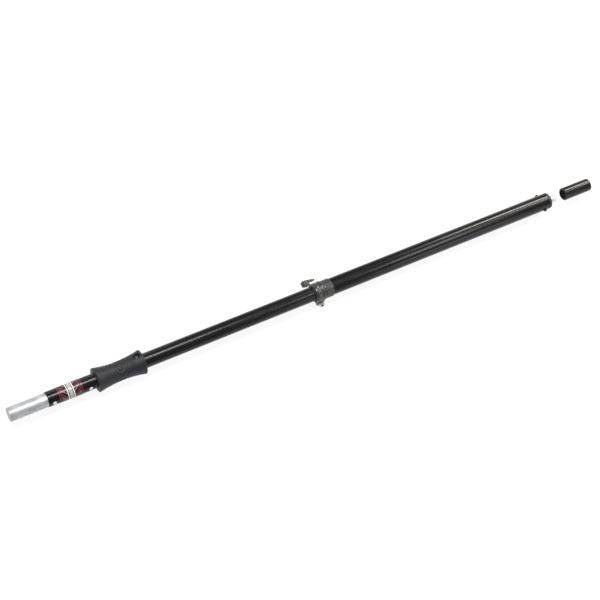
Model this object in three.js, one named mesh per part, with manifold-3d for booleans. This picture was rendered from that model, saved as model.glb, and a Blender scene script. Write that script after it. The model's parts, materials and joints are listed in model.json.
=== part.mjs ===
// Speaker pole: a two-part telescoping pole that carries a loudspeaker above a bass cabinet.
// It lies along X, as it lies on a floor: the bare spigot for the loudspeaker is at the low end of X,
// the threaded tail at the high end, and the clamp's ears point down. Lengths are in millimetres.
import * as THREE from "three";
import { mergeVertices } from "three/addons/utils/BufferGeometryUtils.js";
import Module from "manifold-3d";

// Fits, shared by all pieces
const fitGap = 0.3; // between two pieces that touch on the real pole
const slidingGap = 0.3; // between a piece that slides or turns and what guides it
const overrun = 1; // how far a cutter runs past what it cuts
const weldTolerance = 0.0001;
const tubeSides = 40;
const smallSides = 16;
const hexSides = 6;
const curveSteps = 8;
const roundingSteps = 3;
const quarterTurn = Math.PI / 2;

// Spigot: the bare 1 3/8 inch tube that a loudspeaker sits on
const spigotDiameter = 34.9;
const spigotWall = 2;
const spigotBareLength = 97;
const spigotInsertLength = 129;
const tipCapThickness = 4;
const tipCapRounding = 3;
const tipCapPlugLength = 12;

// Inner tube, with the spigot riveted into its upper end
const innerTubeDiameter = 38.1;
const innerTubeWall = 1.25;
const innerTubeLength = 892;
const rivetHeadDiameter = 9.6;
const rivetHeadHeight = 1.8;
const rivetShankDiameter = 4.8;
const rivetTailLength = 3.4;
const rivetMandrelHoleDiameter = 1.9;
const rivetMandrelHoleDepth = 1.1;
const rivetDomeShares = [[0.33, 1], [0.83, 0.71], [1, 0.5]]; // of the head's height and of its radius
const frontRivetSetback = 13.6;
const rearRivetSetback = 107.4;
const labelSetback = 27.5;
const labelLength = 61;
const labelThickness = 0.3;

// Hand grip: a waisted moulding over a rigid core, held by one screw from above
const gripSetback = 126.5;
const gripLength = 126;
const gripEndDiameter = 63.6;
const gripWaistDiameter = 48.4;
const gripEndBevelLength = 2;
const gripEndBevelDepth = 1.2;
const gripStations = 10;
const gripCoreWall = 2.15;
const gripScrewSetback = 14.6;
const gripScrewPocketDiameter = 17;
const gripScrewHeadDiameter = 11.4;
const gripScrewHeadHeight = 4;
const gripScrewHeadEdge = 1.6;
const gripScrewShankDiameter = 4;
const gripScrewShankLength = 6;
const gripScrewSocketDiameter = 5;
const gripScrewSocketDepth = 2;

// Piston on the inner tube's lower end, with the ring and seal that run in the outer tube
const pistonPlugLength = 36;
const pistonHeadLength = 36;
const pistonBoreDiameter = 22;
const pistonBoreDepth = 50;
const pistonPinDiameter = 4;
const guideRingWidth = 12;
const guideRingThickness = 1.7;
const guideRingSetback = 5;
const sealSection = 2.6;
const sealSetback = 24;
const sealSides = 6;

// Outer tube
const outerTubeDiameter = 44.45;
const outerTubeWall = 1.6;
const outerTubeLength = 718;

// Clamp collar: a casting with a split ring, two ears and a skirt over the outer tube
const collarRingLength = 29.8;
const collarNoseLength = 14;
const collarNoseDiameter = 52;
const collarNoseShares = [[0.1, 0.6], [0.24, 0.9], [0.45, 1], [0.75, 0.9]]; // of its length, and of its rise
const collarMouthDiameter = 45.6;
const collarNeckDiameter = 50;
const collarFlareLength = 8.4;
const collarBandDiameter = 52;
const collarBandLength = 3;
const collarSkirtLength = 22;
const collarSkirtDiameter = 48.6;
const collarEdge = 1.2;
const collarSeatDepth = 29.2;
const collarSlitWidth = 4;
const collarEarReach = 40.5;
const collarEarHalfSpan = 22;
const collarEarWidth = 22;
const collarEarSetback = 0.9;
const collarRivetSetback = 12;

// Bush that the collar squeezes on the inner tube, and the loose stop tube behind it
const bushLipDiameter = 42.6;
const bushLipThickness = 2.5;
const bushLipEdge = 0.8;
const bushSleeveLength = 55.2;
const bushSlotWidth = 3;
const bushSlotLength = 42;
const stopTubeLength = 101;
const stopTubeGap = 0.5;

// Clamp screw across the ears, with its T-knob
const clampScrewDiameter = 8;
const clampScrewDrop = 29.5;
const clampScrewOffset = 2; // from the middle of the ears, towards the skirt
const clampScrewKnobDepth = 5.5;
const clampScrewTip = 1.5;
const clampWasherDiameter = 17;
const clampWasherThickness = 1.2;
const clampNutAcrossFlats = 13;
const clampNutThickness = 5;
const knobSpacerDiameter = 12;
const knobSpacerLength = 19.5;
const knobHubDiameter = 13;
const knobHubLength = 1.8;
const knobMiddleDepth = 6.9;
const knobWingReach = 25; // of the thick wing, from the clamp screw's axis
const knobWingDepth = 15.2;
const knobWingSlope = 2;
const knobWingThickness = 13;
const knobStubReach = 9;
const knobBackSlope = 1; // how far the thick wing's end lies in from the knob's back
const knobTongueReach = 19; // of the thin wing, on the other side
const knobTongueDepth = 3.4;
const knobTongueThickness = 8;
const knobRounding = 1.2;
const knobRoundingSteps = 2;
const knobTurn = THREE.MathUtils.degToRad(20);

// Tail: a plug that closes the outer tube and holds the M20 screw
const tailPlugLength = 45;
const tailPlugFlangeThickness = 8;
const tailPlugFlangeDiameter = 44;
const tailPlugRounding = 2.5;
const tailSealSetback = 9.5;
const tailSealSection = 2.6;
const tailScrewSetback = 23;
const tailScrewHeadDiameter = 9.5;
const tailScrewHeadHeight = 4.4;
const tailScrewHeadCrown = 1.6;
const tailScrewCrownShares = [[0, 1], [0.67, 0.87], [1, 0.71]]; // of the crown's height and the head's radius
const tailScrewShankDiameter = 5;
const tailScrewShankLength = 9.4;
const tailScrewSocketDiameter = 4.4;
const tailScrewSocketDepth = 2;
const mountScrewDiameter = 20;
const mountScrewReach = 24;
const mountScrewBevel = 1.6;
const mountScrewHeadAcrossFlats = 30;
const mountScrewHeadThickness = 12.5;
const mountWasherDiameter = 36;
const mountWasherThickness = 2.5;

// Adapter sleeve, taken off: it turns the M20 screw into a 1 3/8 inch plug
const adapterApart = 52.2;
const adapterLength = 86.4;
const adapterDiameter = 34.9;
const adapterBoreDiameter = 24.6;
const adapterRimBevel = 1.2;
const adapterTipRounding = 3;
const adapterInsertLength = 30;
const adapterInsertSetback = 5;

// Radii and clear bores that follow from the sizes above
const spigotRadius = spigotDiameter / 2;
const spigotBore = spigotRadius - spigotWall;
const innerRadius = innerTubeDiameter / 2;
const innerBore = innerRadius - innerTubeWall;
const outerRadius = outerTubeDiameter / 2;
const outerBore = outerRadius - outerTubeWall;
const sleeveRadius = outerBore - fitGap;
const guideBore = innerRadius + slidingGap;
const runningRadius = outerBore - slidingGap;
const gripCoreRadius = guideBore + gripCoreWall;
const pistonHeadRadius = runningRadius - slidingGap / 2;
const mountScrewRadius = mountScrewDiameter / 2;
const mountScrewBore = mountScrewRadius + fitGap;

// Stations along X, counted from the spigot's tip
const shoulder = spigotBareLength;
const innerTubeEnd = shoulder + innerTubeLength;
const gripStart = shoulder + gripSetback;
const gripEnd = gripStart + gripLength;
const gripScrewStation = gripEnd - gripScrewSetback;
const pistonHeadStart = innerTubeEnd + fitGap;
const stopTubeEnd = pistonHeadStart - slidingGap - stopTubeGap;
const stopTubeStart = stopTubeEnd - stopTubeLength;
const bushEnd = stopTubeStart - fitGap;
const collarStart = bushEnd - bushSleeveLength;
const bushStart = collarStart - fitGap - bushLipThickness;
const collarRingEnd = collarStart + collarRingLength;
const collarEnd = collarRingEnd + collarSkirtLength;
const collarSeat = collarEnd - collarSeatDepth;
const earStation = collarRingEnd - collarEarSetback - collarEarWidth / 2;
const clampStation = earStation + clampScrewOffset;
const collarRivetStation = collarEnd - collarRivetSetback;
const outerTubeStart = collarSeat + fitGap;
const outerTubeEnd = outerTubeStart + outerTubeLength;
const tailFlangeStart = outerTubeEnd + fitGap;
const tailEnd = tailFlangeStart + tailPlugFlangeThickness;
const tailPlugStart = outerTubeEnd - tailPlugLength;
const tailScrewStation = tailEnd - tailScrewSetback;
const adapterStart = tailEnd + adapterApart;

// Directions round the pole, as turns about X: the first points along +Y
const towardsKnob = 0;
const upwards = quarterTurn;
const awayFromKnob = 2 * quarterTurn;
const downwards = 3 * quarterTurn;

// The photograph shows the inner tube turned a little in the outer one
const innerTubeTurn = THREE.MathUtils.degToRad(18);

const wasm = await Module();
wasm.setup();

// One finish per material of the real pole
const finishes = {
  blackAnodised: { color: 0x1b1b1e, roughness: 0.38, metalness: 0.75 },
  bareAluminium: { color: 0xc9cbcd, roughness: 0.3, metalness: 0.9 },
  paintedCasting: { color: 0x55565a, roughness: 0.42, metalness: 0.5 },
  brightSteel: { color: 0xd2d3d2, roughness: 0.22, metalness: 1 },
  blackSteel: { color: 0x161616, roughness: 0.4, metalness: 0.6 },
  blackMoulding: { color: 0x1a1a1b, roughness: 0.6, metalness: 0 },
  gripRubber: { color: 0x2e2e31, roughness: 0.8, metalness: 0 },
  naturalNylon: { color: 0xd8d4c4, roughness: 0.55, metalness: 0 },
  sealRubber: { color: 0x101010, roughness: 0.7, metalness: 0 },
  printedVinyl: { color: 0x8c2a33, roughness: 0.35, metalness: 0 },
};

// A named mesh with a material of its own.
function piece(name, geometry, finish) {
  const mesh = new THREE.Mesh(geometry, new THREE.MeshStandardMaterial(finishes[finish]));
  mesh.name = name;
  return mesh;
}

// A closed geometry as a solid that can be joined and cut.
function solid(geometry) {
  const bare = geometry.clone();
  bare.deleteAttribute("normal");
  bare.deleteAttribute("uv");
  const welded = mergeVertices(bare, weldTolerance);
  return new wasm.Manifold(
    new wasm.Mesh({
      numProp: 3,
      vertProperties: welded.attributes.position.array,
      triVerts: new Uint32Array(welded.index.array),
    }),
  );
}

// The geometry of a solid that has been joined or cut.
function geometryOf(shape) {
  const mesh = shape.getMesh();
  const geometry = new THREE.BufferGeometry();
  geometry.setAttribute("position", new THREE.BufferAttribute(mesh.vertProperties, 3));
  geometry.setIndex(new THREE.BufferAttribute(mesh.triVerts, 1));
  geometry.computeVertexNormals();
  return geometry;
}

function cut(body, ...cutters) {
  const left = cutters.reduce((shape, cutter) => shape.subtract(solid(cutter)), solid(body));
  return geometryOf(left);
}

function join(first, ...others) {
  const joined = others.reduce((shape, other) => shape.add(solid(other)), solid(first));
  return geometryOf(joined);
}

// A solid of revolution about X, from an outline of [station, radius] pairs that starts and ends on X.
function turned(outline, sides = tubeSides) {
  const points = outline.map(([station, radius]) => new THREE.Vector2(radius, station));
  return new THREE.LatheGeometry(points, sides).rotateZ(-quarterTurn);
}

// The same about Y, from [height, radius] pairs. Y is the way out of the pole once it is turned about X.
function standing(outline, sides = smallSides) {
  const points = outline.map(([height, radius]) => new THREE.Vector2(radius, height));
  return new THREE.LatheGeometry(points, sides);
}

// The outline of a ring between two stations, closed on itself.
function ringOutline(start, end, bore, radius) {
  return [
    [start, bore],
    [start, radius],
    [end, radius],
    [end, bore],
    [start, bore],
  ];
}

function rodOutline(start, end, radius) {
  return [
    [start, 0],
    [start, radius],
    [end, radius],
    [end, 0],
  ];
}

// The points of a quarter round that ends an outline: from the side at the given radius to the end face.
function roundedEnd(end, radius, rounding) {
  const points = [];
  for (let step = 0; step <= roundingSteps; step++) {
    const angle = (step / roundingSteps) * quarterTurn;
    const station = end - rounding * (1 - Math.sin(angle));
    points.push([station, radius - rounding * (1 - Math.cos(angle))]);
  }
  return points;
}

// A cutter for a round hole across the pole, from one radius out to another.
function crossHole(station, turn, radius, from, to) {
  return standing(rodOutline(from, to, radius)).rotateX(turn).translate(station, 0, 0);
}

// A six-sided prism along Y, as a nut or a screw's head is.
function hexPrism(acrossFlats, start, end) {
  const cornerRadius = acrossFlats / 2 / Math.cos(Math.PI / hexSides);
  return standing(rodOutline(start, end, cornerRadius), hexSides);
}

// A round O-ring about X.
function sealRing(station, centreRadius, section) {
  const outline = [];
  for (let side = 0; side <= sealSides; side++) {
    const angle = (side / sealSides) * 4 * quarterTurn;
    const radius = centreRadius + (section / 2) * Math.sin(angle);
    outline.push([station - (section / 2) * Math.cos(angle), radius]);
  }
  outline[sealSides] = outline[0];
  return turned(outline);
}

// Places a piece that stands out of the pole: at a station, turned about X.
function placeAcross(mesh, station, turn) {
  mesh.position.x = station;
  mesh.rotation.x = turn;
  return mesh;
}

// Blind rivet, its head seated on a tube of the given radius.
function blindRivet(name, station, turn, seatRadius) {
  const seat = seatRadius + fitGap;
  const headRadius = rivetHeadDiameter / 2;
  const holeRadius = rivetMandrelHoleDiameter / 2;
  const top = seat + rivetHeadHeight;
  const dome = rivetDomeShares.map(([rise, width]) => [seat + rise * rivetHeadHeight, width * headRadius]);
  const outline = [
    [seat - rivetTailLength, 0],
    [seat - rivetTailLength, rivetShankDiameter / 2],
    [seat, rivetShankDiameter / 2],
    [seat, headRadius],
    ...dome,
    [top, holeRadius],
    [top - rivetMandrelHoleDepth, holeRadius],
    [top - rivetMandrelHoleDepth, 0],
  ];
  return placeAcross(piece(name, standing(outline), "bareAluminium"), station, turn);
}

function rivetHole(station, turn, seatRadius) {
  const radius = rivetShankDiameter / 2 + fitGap;
  return crossHole(station, turn, radius, seatRadius / 2, seatRadius + overrun);
}

// The stations and turns of the four rivets that hold the spigot.
const spigotRivets = {
  spigot_rivet_front_near: [shoulder + frontRivetSetback, awayFromKnob],
  spigot_rivet_front_far: [shoulder + frontRivetSetback, towardsKnob],
  spigot_rivet_rear_near: [shoulder + rearRivetSetback, awayFromKnob],
  spigot_rivet_rear_far: [shoulder + rearRivetSetback, towardsKnob],
};

function spigotRivetHoles() {
  return Object.values(spigotRivets).map(([station, turn]) => rivetHole(station, turn, innerRadius));
}

function spigotPieces() {
  const tubeStart = tipCapThickness + fitGap;
  const tubeOutline = ringOutline(tubeStart, shoulder + spigotInsertLength, spigotBore, spigotRadius);
  const tube = cut(turned(tubeOutline), ...spigotRivetHoles());
  const plugRadius = spigotBore - fitGap;
  const capRounding = roundedEnd(tipCapThickness, spigotRadius, tipCapRounding);
  const capOutline = [
    [-tipCapPlugLength, 0],
    [-tipCapPlugLength, plugRadius],
    [0, plugRadius],
    [0, spigotRadius],
    ...capRounding,
    [tipCapThickness, 0],
  ];
  const cap = piece("spigot_tip_cap", turned(capOutline), "bareAluminium");
  cap.rotation.z = 2 * quarterTurn;
  cap.position.x = tipCapThickness;
  return [piece("spigot_tube", tube, "bareAluminium"), cap];
}

function innerTubePieces() {
  const screwRadius = gripScrewShankDiameter / 2 + fitGap;
  const reach = innerRadius + overrun;
  const screwHole = crossHole(gripScrewStation, upwards, screwRadius, innerRadius / 2, reach);
  const pinRadius = pistonPinDiameter / 2 + fitGap;
  const pinStation = innerTubeEnd - pistonPlugLength / 2;
  const pinHole = crossHole(pinStation, towardsKnob, pinRadius, -reach, reach);
  const blank = turned(ringOutline(shoulder, innerTubeEnd, innerBore, innerRadius));
  const tube = cut(blank, ...spigotRivetHoles(), screwHole, pinHole);
  const labelStart = shoulder + labelSetback;
  const labelRadius = guideBore + labelThickness;
  const wrap = turned(ringOutline(labelStart, labelStart + labelLength, guideBore, labelRadius));
  const rivets = Object.entries(spigotRivets).map(([name, [station, turn]]) =>
    blindRivet(name, station, turn, innerRadius),
  );
  const label = piece("label_wrap", wrap, "printedVinyl");
  return [piece("inner_tube", tube, "blackAnodised"), label, ...rivets];
}

// The grip's outline: a parabola that is narrowest half way along, with a bevel at each end.
function gripOutline(bore) {
  const endRadius = gripEndDiameter / 2;
  const waistRadius = gripWaistDiameter / 2;
  const middle = (gripStart + gripEnd) / 2;
  const reach = gripLength / 2;
  const radiusAt = (station) => waistRadius + (endRadius - waistRadius) * ((station - middle) / reach) ** 2;
  const first = gripStart + gripEndBevelLength;
  const last = gripEnd - gripEndBevelLength;
  const sides = [];
  for (let step = 0; step <= gripStations; step++) {
    const station = first + ((last - first) * step) / gripStations;
    sides.push([station, radiusAt(station)]);
  }
  const rimRadius = radiusAt(first) - gripEndBevelDepth;
  const start = [gripStart, bore];
  return [start, [gripStart, rimRadius], ...sides, [gripEnd, rimRadius], [gripEnd, bore], start];
}

function gripPieces() {
  const pocketRadius = gripScrewPocketDiameter / 2;
  const coverBore = gripCoreRadius + fitGap;
  const pocket = crossHole(gripScrewStation, upwards, pocketRadius, innerRadius, gripEndDiameter);
  const cover = cut(turned(gripOutline(coverBore)), pocket);
  const shankRadius = gripScrewShankDiameter / 2;
  const coreReach = gripCoreRadius + overrun;
  const coreHole = crossHole(gripScrewStation, upwards, shankRadius + fitGap, innerRadius / 2, coreReach);
  const core = cut(turned(ringOutline(gripStart, gripEnd, guideBore, gripCoreRadius)), coreHole);
  const seat = gripCoreRadius + fitGap;
  const headRadius = gripScrewHeadDiameter / 2;
  const socketRadius = gripScrewSocketDiameter / 2;
  const top = seat + gripScrewHeadHeight;
  const screwOutline = [
    [seat - gripScrewShankLength, 0],
    [seat - gripScrewShankLength, shankRadius],
    [seat, shankRadius],
    [seat, headRadius],
    [top - gripScrewHeadEdge, headRadius],
    [top, headRadius - gripScrewHeadEdge],
    [top, socketRadius],
    [top - gripScrewSocketDepth, socketRadius],
    [top - gripScrewSocketDepth, 0],
  ];
  const screw = piece("grip_screw", standing(screwOutline), "blackSteel");
  placeAcross(screw, gripScrewStation, upwards);
  return [piece("grip_core", core, "blackMoulding"), piece("grip_cover", cover, "gripRubber"), screw];
}

// The piston is pinned in the inner tube and closes it. Its two grooves take the guide ring and the seal.
function pistonPieces() {
  const plugRadius = innerBore - fitGap;
  const headEnd = pistonHeadStart + pistonHeadLength;
  const ringStart = pistonHeadStart + guideRingSetback;
  const sealCentre = pistonHeadStart + sealSetback;
  const sealGrooveHalf = sealSection / 2 + slidingGap;
  const ringFloor = runningRadius - guideRingThickness - slidingGap;
  const sealFloor = runningRadius - sealSection - slidingGap;
  const outline = [
    [innerTubeEnd - pistonPlugLength, 0],
    [innerTubeEnd - pistonPlugLength, plugRadius],
    [pistonHeadStart, plugRadius],
    [pistonHeadStart, pistonHeadRadius],
    [ringStart - slidingGap, pistonHeadRadius],
    [ringStart - slidingGap, ringFloor],
    [ringStart + guideRingWidth + slidingGap, ringFloor],
    [ringStart + guideRingWidth + slidingGap, pistonHeadRadius],
    [sealCentre - sealGrooveHalf, pistonHeadRadius],
    [sealCentre - sealGrooveHalf, sealFloor],
    [sealCentre + sealGrooveHalf, sealFloor],
    [sealCentre + sealGrooveHalf, pistonHeadRadius],
    [headEnd, pistonHeadRadius],
    [headEnd, pistonBoreDiameter / 2],
    [headEnd - pistonBoreDepth, pistonBoreDiameter / 2],
    [headEnd - pistonBoreDepth, 0],
  ];
  const pinStation = innerTubeEnd - pistonPlugLength / 2;
  const pinRadius = pistonPinDiameter / 2;
  const reach = innerRadius + overrun;
  const pinHole = crossHole(pinStation, towardsKnob, pinRadius + fitGap, -reach, reach);
  const piston = piece("piston", cut(turned(outline), pinHole), "blackMoulding");
  const pinEnd = innerRadius - fitGap;
  const pin = piece("piston_pin", standing(rodOutline(-pinEnd, pinEnd, pinRadius)), "brightSteel");
  return [piston, placeAcross(pin, pinStation, towardsKnob)];
}

// The split guide ring and the seal slide with the piston, which can turn inside them.
function slideRingPieces() {
  const ringStart = pistonHeadStart + guideRingSetback;
  const ringBore = runningRadius - guideRingThickness;
  const ring = turned(ringOutline(ringStart, ringStart + guideRingWidth, ringBore, runningRadius));
  const sealCentreRadius = runningRadius - sealSection / 2;
  const seal = sealRing(pistonHeadStart + sealSetback, sealCentreRadius, sealSection);
  return [piece("guide_ring", ring, "naturalNylon"), piece("piston_seal", seal, "sealRubber")];
}

// The casting's turned outline: rounded nose, neck, flare up to the band, then the skirt.
function collarOutline() {
  const mouthRadius = collarMouthDiameter / 2;
  const noseRise = collarNoseDiameter / 2 - mouthRadius;
  const noseEnd = collarStart + collarNoseLength;
  const nose = collarNoseShares.map(([along, rise]) => [
    collarStart + along * collarNoseLength,
    mouthRadius + rise * noseRise,
  ]);
  const bandStart = noseEnd + collarFlareLength;
  const bandRadius = collarBandDiameter / 2;
  const skirtRadius = collarSkirtDiameter / 2;
  return [
    [collarStart, 0],
    [collarStart, mouthRadius],
    ...nose,
    [noseEnd, collarNeckDiameter / 2],
    [bandStart, bandRadius],
    [bandStart + collarBandLength, bandRadius],
    [collarRingEnd, skirtRadius],
    [collarEnd - collarEdge, skirtRadius],
    [collarEnd, skirtRadius - collarEdge],
    [collarEnd, 0],
  ];
}

// One block for both ears: its lower end is round, seen along Y, and the slit parts it.
function earBlock() {
  const halfWidth = collarEarWidth / 2;
  const outline = new THREE.Shape();
  outline.moveTo(halfWidth, 0);
  outline.lineTo(-halfWidth, 0);
  outline.lineTo(-halfWidth, -(collarEarReach - halfWidth));
  outline.absarc(0, -(collarEarReach - halfWidth), halfWidth, Math.PI, 2 * Math.PI, false);
  outline.closePath();
  const block = new THREE.ExtrudeGeometry(outline, {
    depth: 2 * collarEarHalfSpan,
    bevelEnabled: false,
    curveSegments: curveSteps,
  });
  block.translate(0, 0, -collarEarHalfSpan).rotateX(quarterTurn);
  return block.translate(earStation, 0, 0);
}

function collarPieces() {
  const slitLength = collarRingEnd - collarStart;
  const slitDepth = collarEarReach + overrun;
  const slit = new THREE.BoxGeometry(slitLength + overrun, collarSlitWidth, slitDepth);
  slit.translate(collarStart + (slitLength - overrun) / 2, 0, -slitDepth / 2);
  const bore = turned(rodOutline(collarStart - overrun, collarEnd + overrun, outerBore));
  const seat = turned(rodOutline(collarSeat, collarEnd + overrun, outerRadius + fitGap));
  const screwRadius = clampScrewDiameter / 2 + slidingGap;
  const screwReach = collarEarHalfSpan + overrun;
  const screwHole = standing(rodOutline(-screwReach, screwReach, screwRadius));
  screwHole.translate(clampStation, 0, -clampScrewDrop);
  const rivetRadius = rivetShankDiameter / 2 + fitGap;
  const skirtReach = collarSkirtDiameter / 2 + overrun;
  const skirtHole = crossHole(collarRivetStation, downwards, rivetRadius, innerRadius, skirtReach);
  const blank = join(turned(collarOutline()), earBlock());
  const casting = cut(blank, bore, seat, slit, screwHole, skirtHole);
  const rivet = blindRivet("collar_rivet", collarRivetStation, downwards, collarSkirtDiameter / 2);
  return [piece("clamp_collar", casting, "paintedCasting"), rivet];
}

function bushPieces() {
  const lipRadius = bushLipDiameter / 2;
  const lipEnd = bushStart + bushLipThickness;
  const outline = [
    [bushStart, guideBore],
    [bushStart, lipRadius - bushLipEdge],
    [bushStart + bushLipEdge, lipRadius],
    [lipEnd, lipRadius],
    [lipEnd, sleeveRadius],
    [bushEnd, sleeveRadius],
    [bushEnd, guideBore],
    [bushStart, guideBore],
  ];
  const slotReach = lipRadius + overrun;
  const slot = new THREE.BoxGeometry(bushSlotLength + overrun, bushSlotWidth, slotReach);
  slot.translate(bushStart + (bushSlotLength - overrun) / 2, 0, -slotReach / 2);
  const stopTube = turned(ringOutline(stopTubeStart, stopTubeEnd, guideBore, sleeveRadius));
  return [
    piece("clamp_bush", cut(turned(outline), slot), "blackMoulding"),
    piece("stop_tube", stopTube, "naturalNylon"),
  ];
}

function outerTubePiece() {
  const rivetRadius = rivetShankDiameter / 2 + fitGap;
  const screwRadius = tailScrewShankDiameter / 2 + fitGap;
  const reach = outerRadius + overrun;
  const holes = [
    crossHole(collarRivetStation, downwards, rivetRadius, innerRadius, reach),
    crossHole(tailScrewStation, towardsKnob, screwRadius, innerRadius, reach),
    crossHole(tailScrewStation, awayFromKnob, screwRadius, innerRadius, reach),
  ];
  const blank = turned(ringOutline(outerTubeStart, outerTubeEnd, outerBore, outerRadius));
  return piece("outer_tube", cut(blank, ...holes), "blackAnodised");
}

// Washer and nut on the ear that faces away from the knob, about the clamp screw's own axis.
function clampNutPieces() {
  const bore = clampScrewDiameter / 2 + slidingGap;
  const washerStart = collarEarHalfSpan + fitGap;
  const washerEnd = washerStart + clampWasherThickness;
  const nutStart = washerEnd + fitGap;
  const nutEnd = nutStart + clampNutThickness;
  const washer = standing(ringOutline(washerStart, washerEnd, bore, clampWasherDiameter / 2));
  const nutHole = standing(rodOutline(nutStart - overrun, nutEnd + overrun, bore));
  const nut = cut(hexPrism(clampNutAcrossFlats, nutStart, nutEnd), nutHole);
  const group = new THREE.Group();
  group.position.set(clampStation, 0, -clampScrewDrop);
  group.rotation.x = awayFromKnob;
  group.add(piece("clamp_washer", washer, "brightSteel"), piece("clamp_nut", nut, "brightSteel"));
  return group;
}

// A moulded bar of the knob from its outline, [along, height] pairs seen from above: its edges are rounded.
function knobBar(points, thickness) {
  const depth = thickness - 2 * knobRounding;
  const outline = new THREE.Shape(points.map(([along, height]) => new THREE.Vector2(along, height)));
  const bar = new THREE.ExtrudeGeometry(outline, {
    depth,
    bevelEnabled: true,
    bevelOffset: -knobRounding,
    bevelSize: knobRounding,
    bevelThickness: knobRounding,
    bevelSegments: knobRoundingSteps,
  });
  return bar.translate(0, 0, -depth / 2);
}

// The handle from its back to the pole: a thick wing on one side of the screw and a thin one on the other.
function knobHandle(hubStart) {
  const middle = hubStart + knobHubLength;
  const back = middle + knobMiddleDepth;
  const wingFront = back - knobWingDepth;
  const wingEdge = -(knobHubDiameter / 2 + fitGap);
  const wing = [
    [-knobWingReach, wingFront],
    [wingEdge - knobWingSlope, wingFront],
    [wingEdge, wingFront + knobWingSlope],
    [wingEdge, middle],
    [knobStubReach, middle],
    [knobStubReach, back],
    [0, back],
    [-knobWingReach, back - knobBackSlope],
  ];
  const tongue = [
    [0, back - knobTongueDepth],
    [knobTongueReach, back - knobTongueDepth],
    [knobTongueReach, back],
    [0, back],
  ];
  const hub = standing(rodOutline(hubStart, middle + knobMiddleDepth / 2, knobHubDiameter / 2));
  return join(knobBar(wing, knobWingThickness), knobBar(tongue, knobTongueThickness), hub);
}

// Knob, spacer and screw turn together about Y, inside the ears.
function knobGroup() {
  const spacerStart = collarEarHalfSpan + fitGap;
  const spacerEnd = spacerStart + knobSpacerLength;
  const hubStart = spacerEnd + fitGap;
  const screwRadius = clampScrewDiameter / 2;
  const screwBore = screwRadius + fitGap;
  const screwEnd = hubStart + clampScrewKnobDepth;
  const screwHole = standing(rodOutline(hubStart - overrun, screwEnd + fitGap, screwBore));
  const handle = cut(knobHandle(hubStart), screwHole);
  const spacer = standing(ringOutline(spacerStart, spacerEnd, screwBore, knobSpacerDiameter / 2));
  const nutReach = collarEarHalfSpan + clampWasherThickness + clampNutThickness + 2 * fitGap;
  const screw = standing(rodOutline(-(nutReach + clampScrewTip), screwEnd, screwRadius));
  const group = new THREE.Group();
  group.position.set(clampStation, 0, -clampScrewDrop);
  group.rotation.y = knobTurn;
  group.add(
    piece("knob_handle", handle, "blackMoulding"),
    piece("knob_spacer", spacer, "brightSteel"),
    piece("clamp_screw", screw, "blackSteel"),
  );
  return group;
}

// Plug, seal and the two screws that hold the plug in the tube's end.
function tailPlugPieces() {
  const flangeRadius = tailPlugFlangeDiameter / 2;
  const sealCentre = tailPlugStart + tailSealSetback;
  const sealGrooveHalf = tailSealSection / 2 + fitGap;
  const sealFloor = sleeveRadius - tailSealSection - fitGap;
  const outline = [
    [tailPlugStart, mountScrewBore],
    [tailPlugStart, sleeveRadius],
    [sealCentre - sealGrooveHalf, sleeveRadius],
    [sealCentre - sealGrooveHalf, sealFloor],
    [sealCentre + sealGrooveHalf, sealFloor],
    [sealCentre + sealGrooveHalf, sleeveRadius],
    [tailFlangeStart, sleeveRadius],
    [tailFlangeStart, flangeRadius],
    ...roundedEnd(tailEnd, flangeRadius, tailPlugRounding),
    [tailEnd, mountScrewBore],
    [tailPlugStart, mountScrewBore],
  ];
  const shankRadius = tailScrewShankDiameter / 2;
  const seat = outerRadius + fitGap;
  const holeFloor = seat - tailScrewShankLength - fitGap;
  const turns = { tail_screw_far: towardsKnob, tail_screw_near: awayFromKnob };
  const holes = Object.values(turns).map((turn) =>
    crossHole(tailScrewStation, turn, shankRadius + fitGap, holeFloor, outerRadius),
  );
  const plug = piece("tail_plug", cut(turned(outline), ...holes), "blackMoulding");
  const seal = sealRing(sealCentre, sleeveRadius - tailSealSection / 2, tailSealSection);
  const headRadius = tailScrewHeadDiameter / 2;
  const socketRadius = tailScrewSocketDiameter / 2;
  const top = seat + tailScrewHeadHeight;
  const crownStart = top - tailScrewHeadCrown;
  const crown = tailScrewCrownShares.map(([rise, width]) => [
    crownStart + rise * tailScrewHeadCrown,
    width * headRadius,
  ]);
  const screwOutline = [
    [seat - tailScrewShankLength, 0],
    [seat - tailScrewShankLength, shankRadius],
    [seat, shankRadius],
    [seat, headRadius],
    ...crown,
    [top, socketRadius],
    [top - tailScrewSocketDepth, socketRadius],
    [top - tailScrewSocketDepth, 0],
  ];
  const screws = Object.entries(turns).map(([name, turn]) =>
    placeAcross(piece(name, standing(screwOutline), "blackSteel"), tailScrewStation, turn),
  );
  return [plug, piece("tail_seal", seal, "sealRubber"), ...screws];
}

// The M20 screw: its head is inside the tube, and its end stands out of the tail.
function mountScrewPieces() {
  const washerEnd = tailPlugStart - fitGap;
  const washerStart = washerEnd - mountWasherThickness;
  const headEnd = washerStart - fitGap;
  const headStart = headEnd - mountScrewHeadThickness;
  const end = tailEnd + mountScrewReach;
  const shankOutline = [
    [headStart, 0],
    [headStart, mountScrewRadius],
    [end - mountScrewBevel, mountScrewRadius],
    [end, mountScrewRadius - mountScrewBevel],
    [end, 0],
  ];
  const head = hexPrism(mountScrewHeadAcrossFlats, headStart, headEnd).rotateZ(-quarterTurn);
  const screw = join(turned(shankOutline), head);
  const washer = turned(ringOutline(washerStart, washerEnd, mountScrewBore, mountWasherDiameter / 2));
  return [piece("mount_screw", screw, "brightSteel"), piece("mount_washer", washer, "brightSteel")];
}

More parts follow.
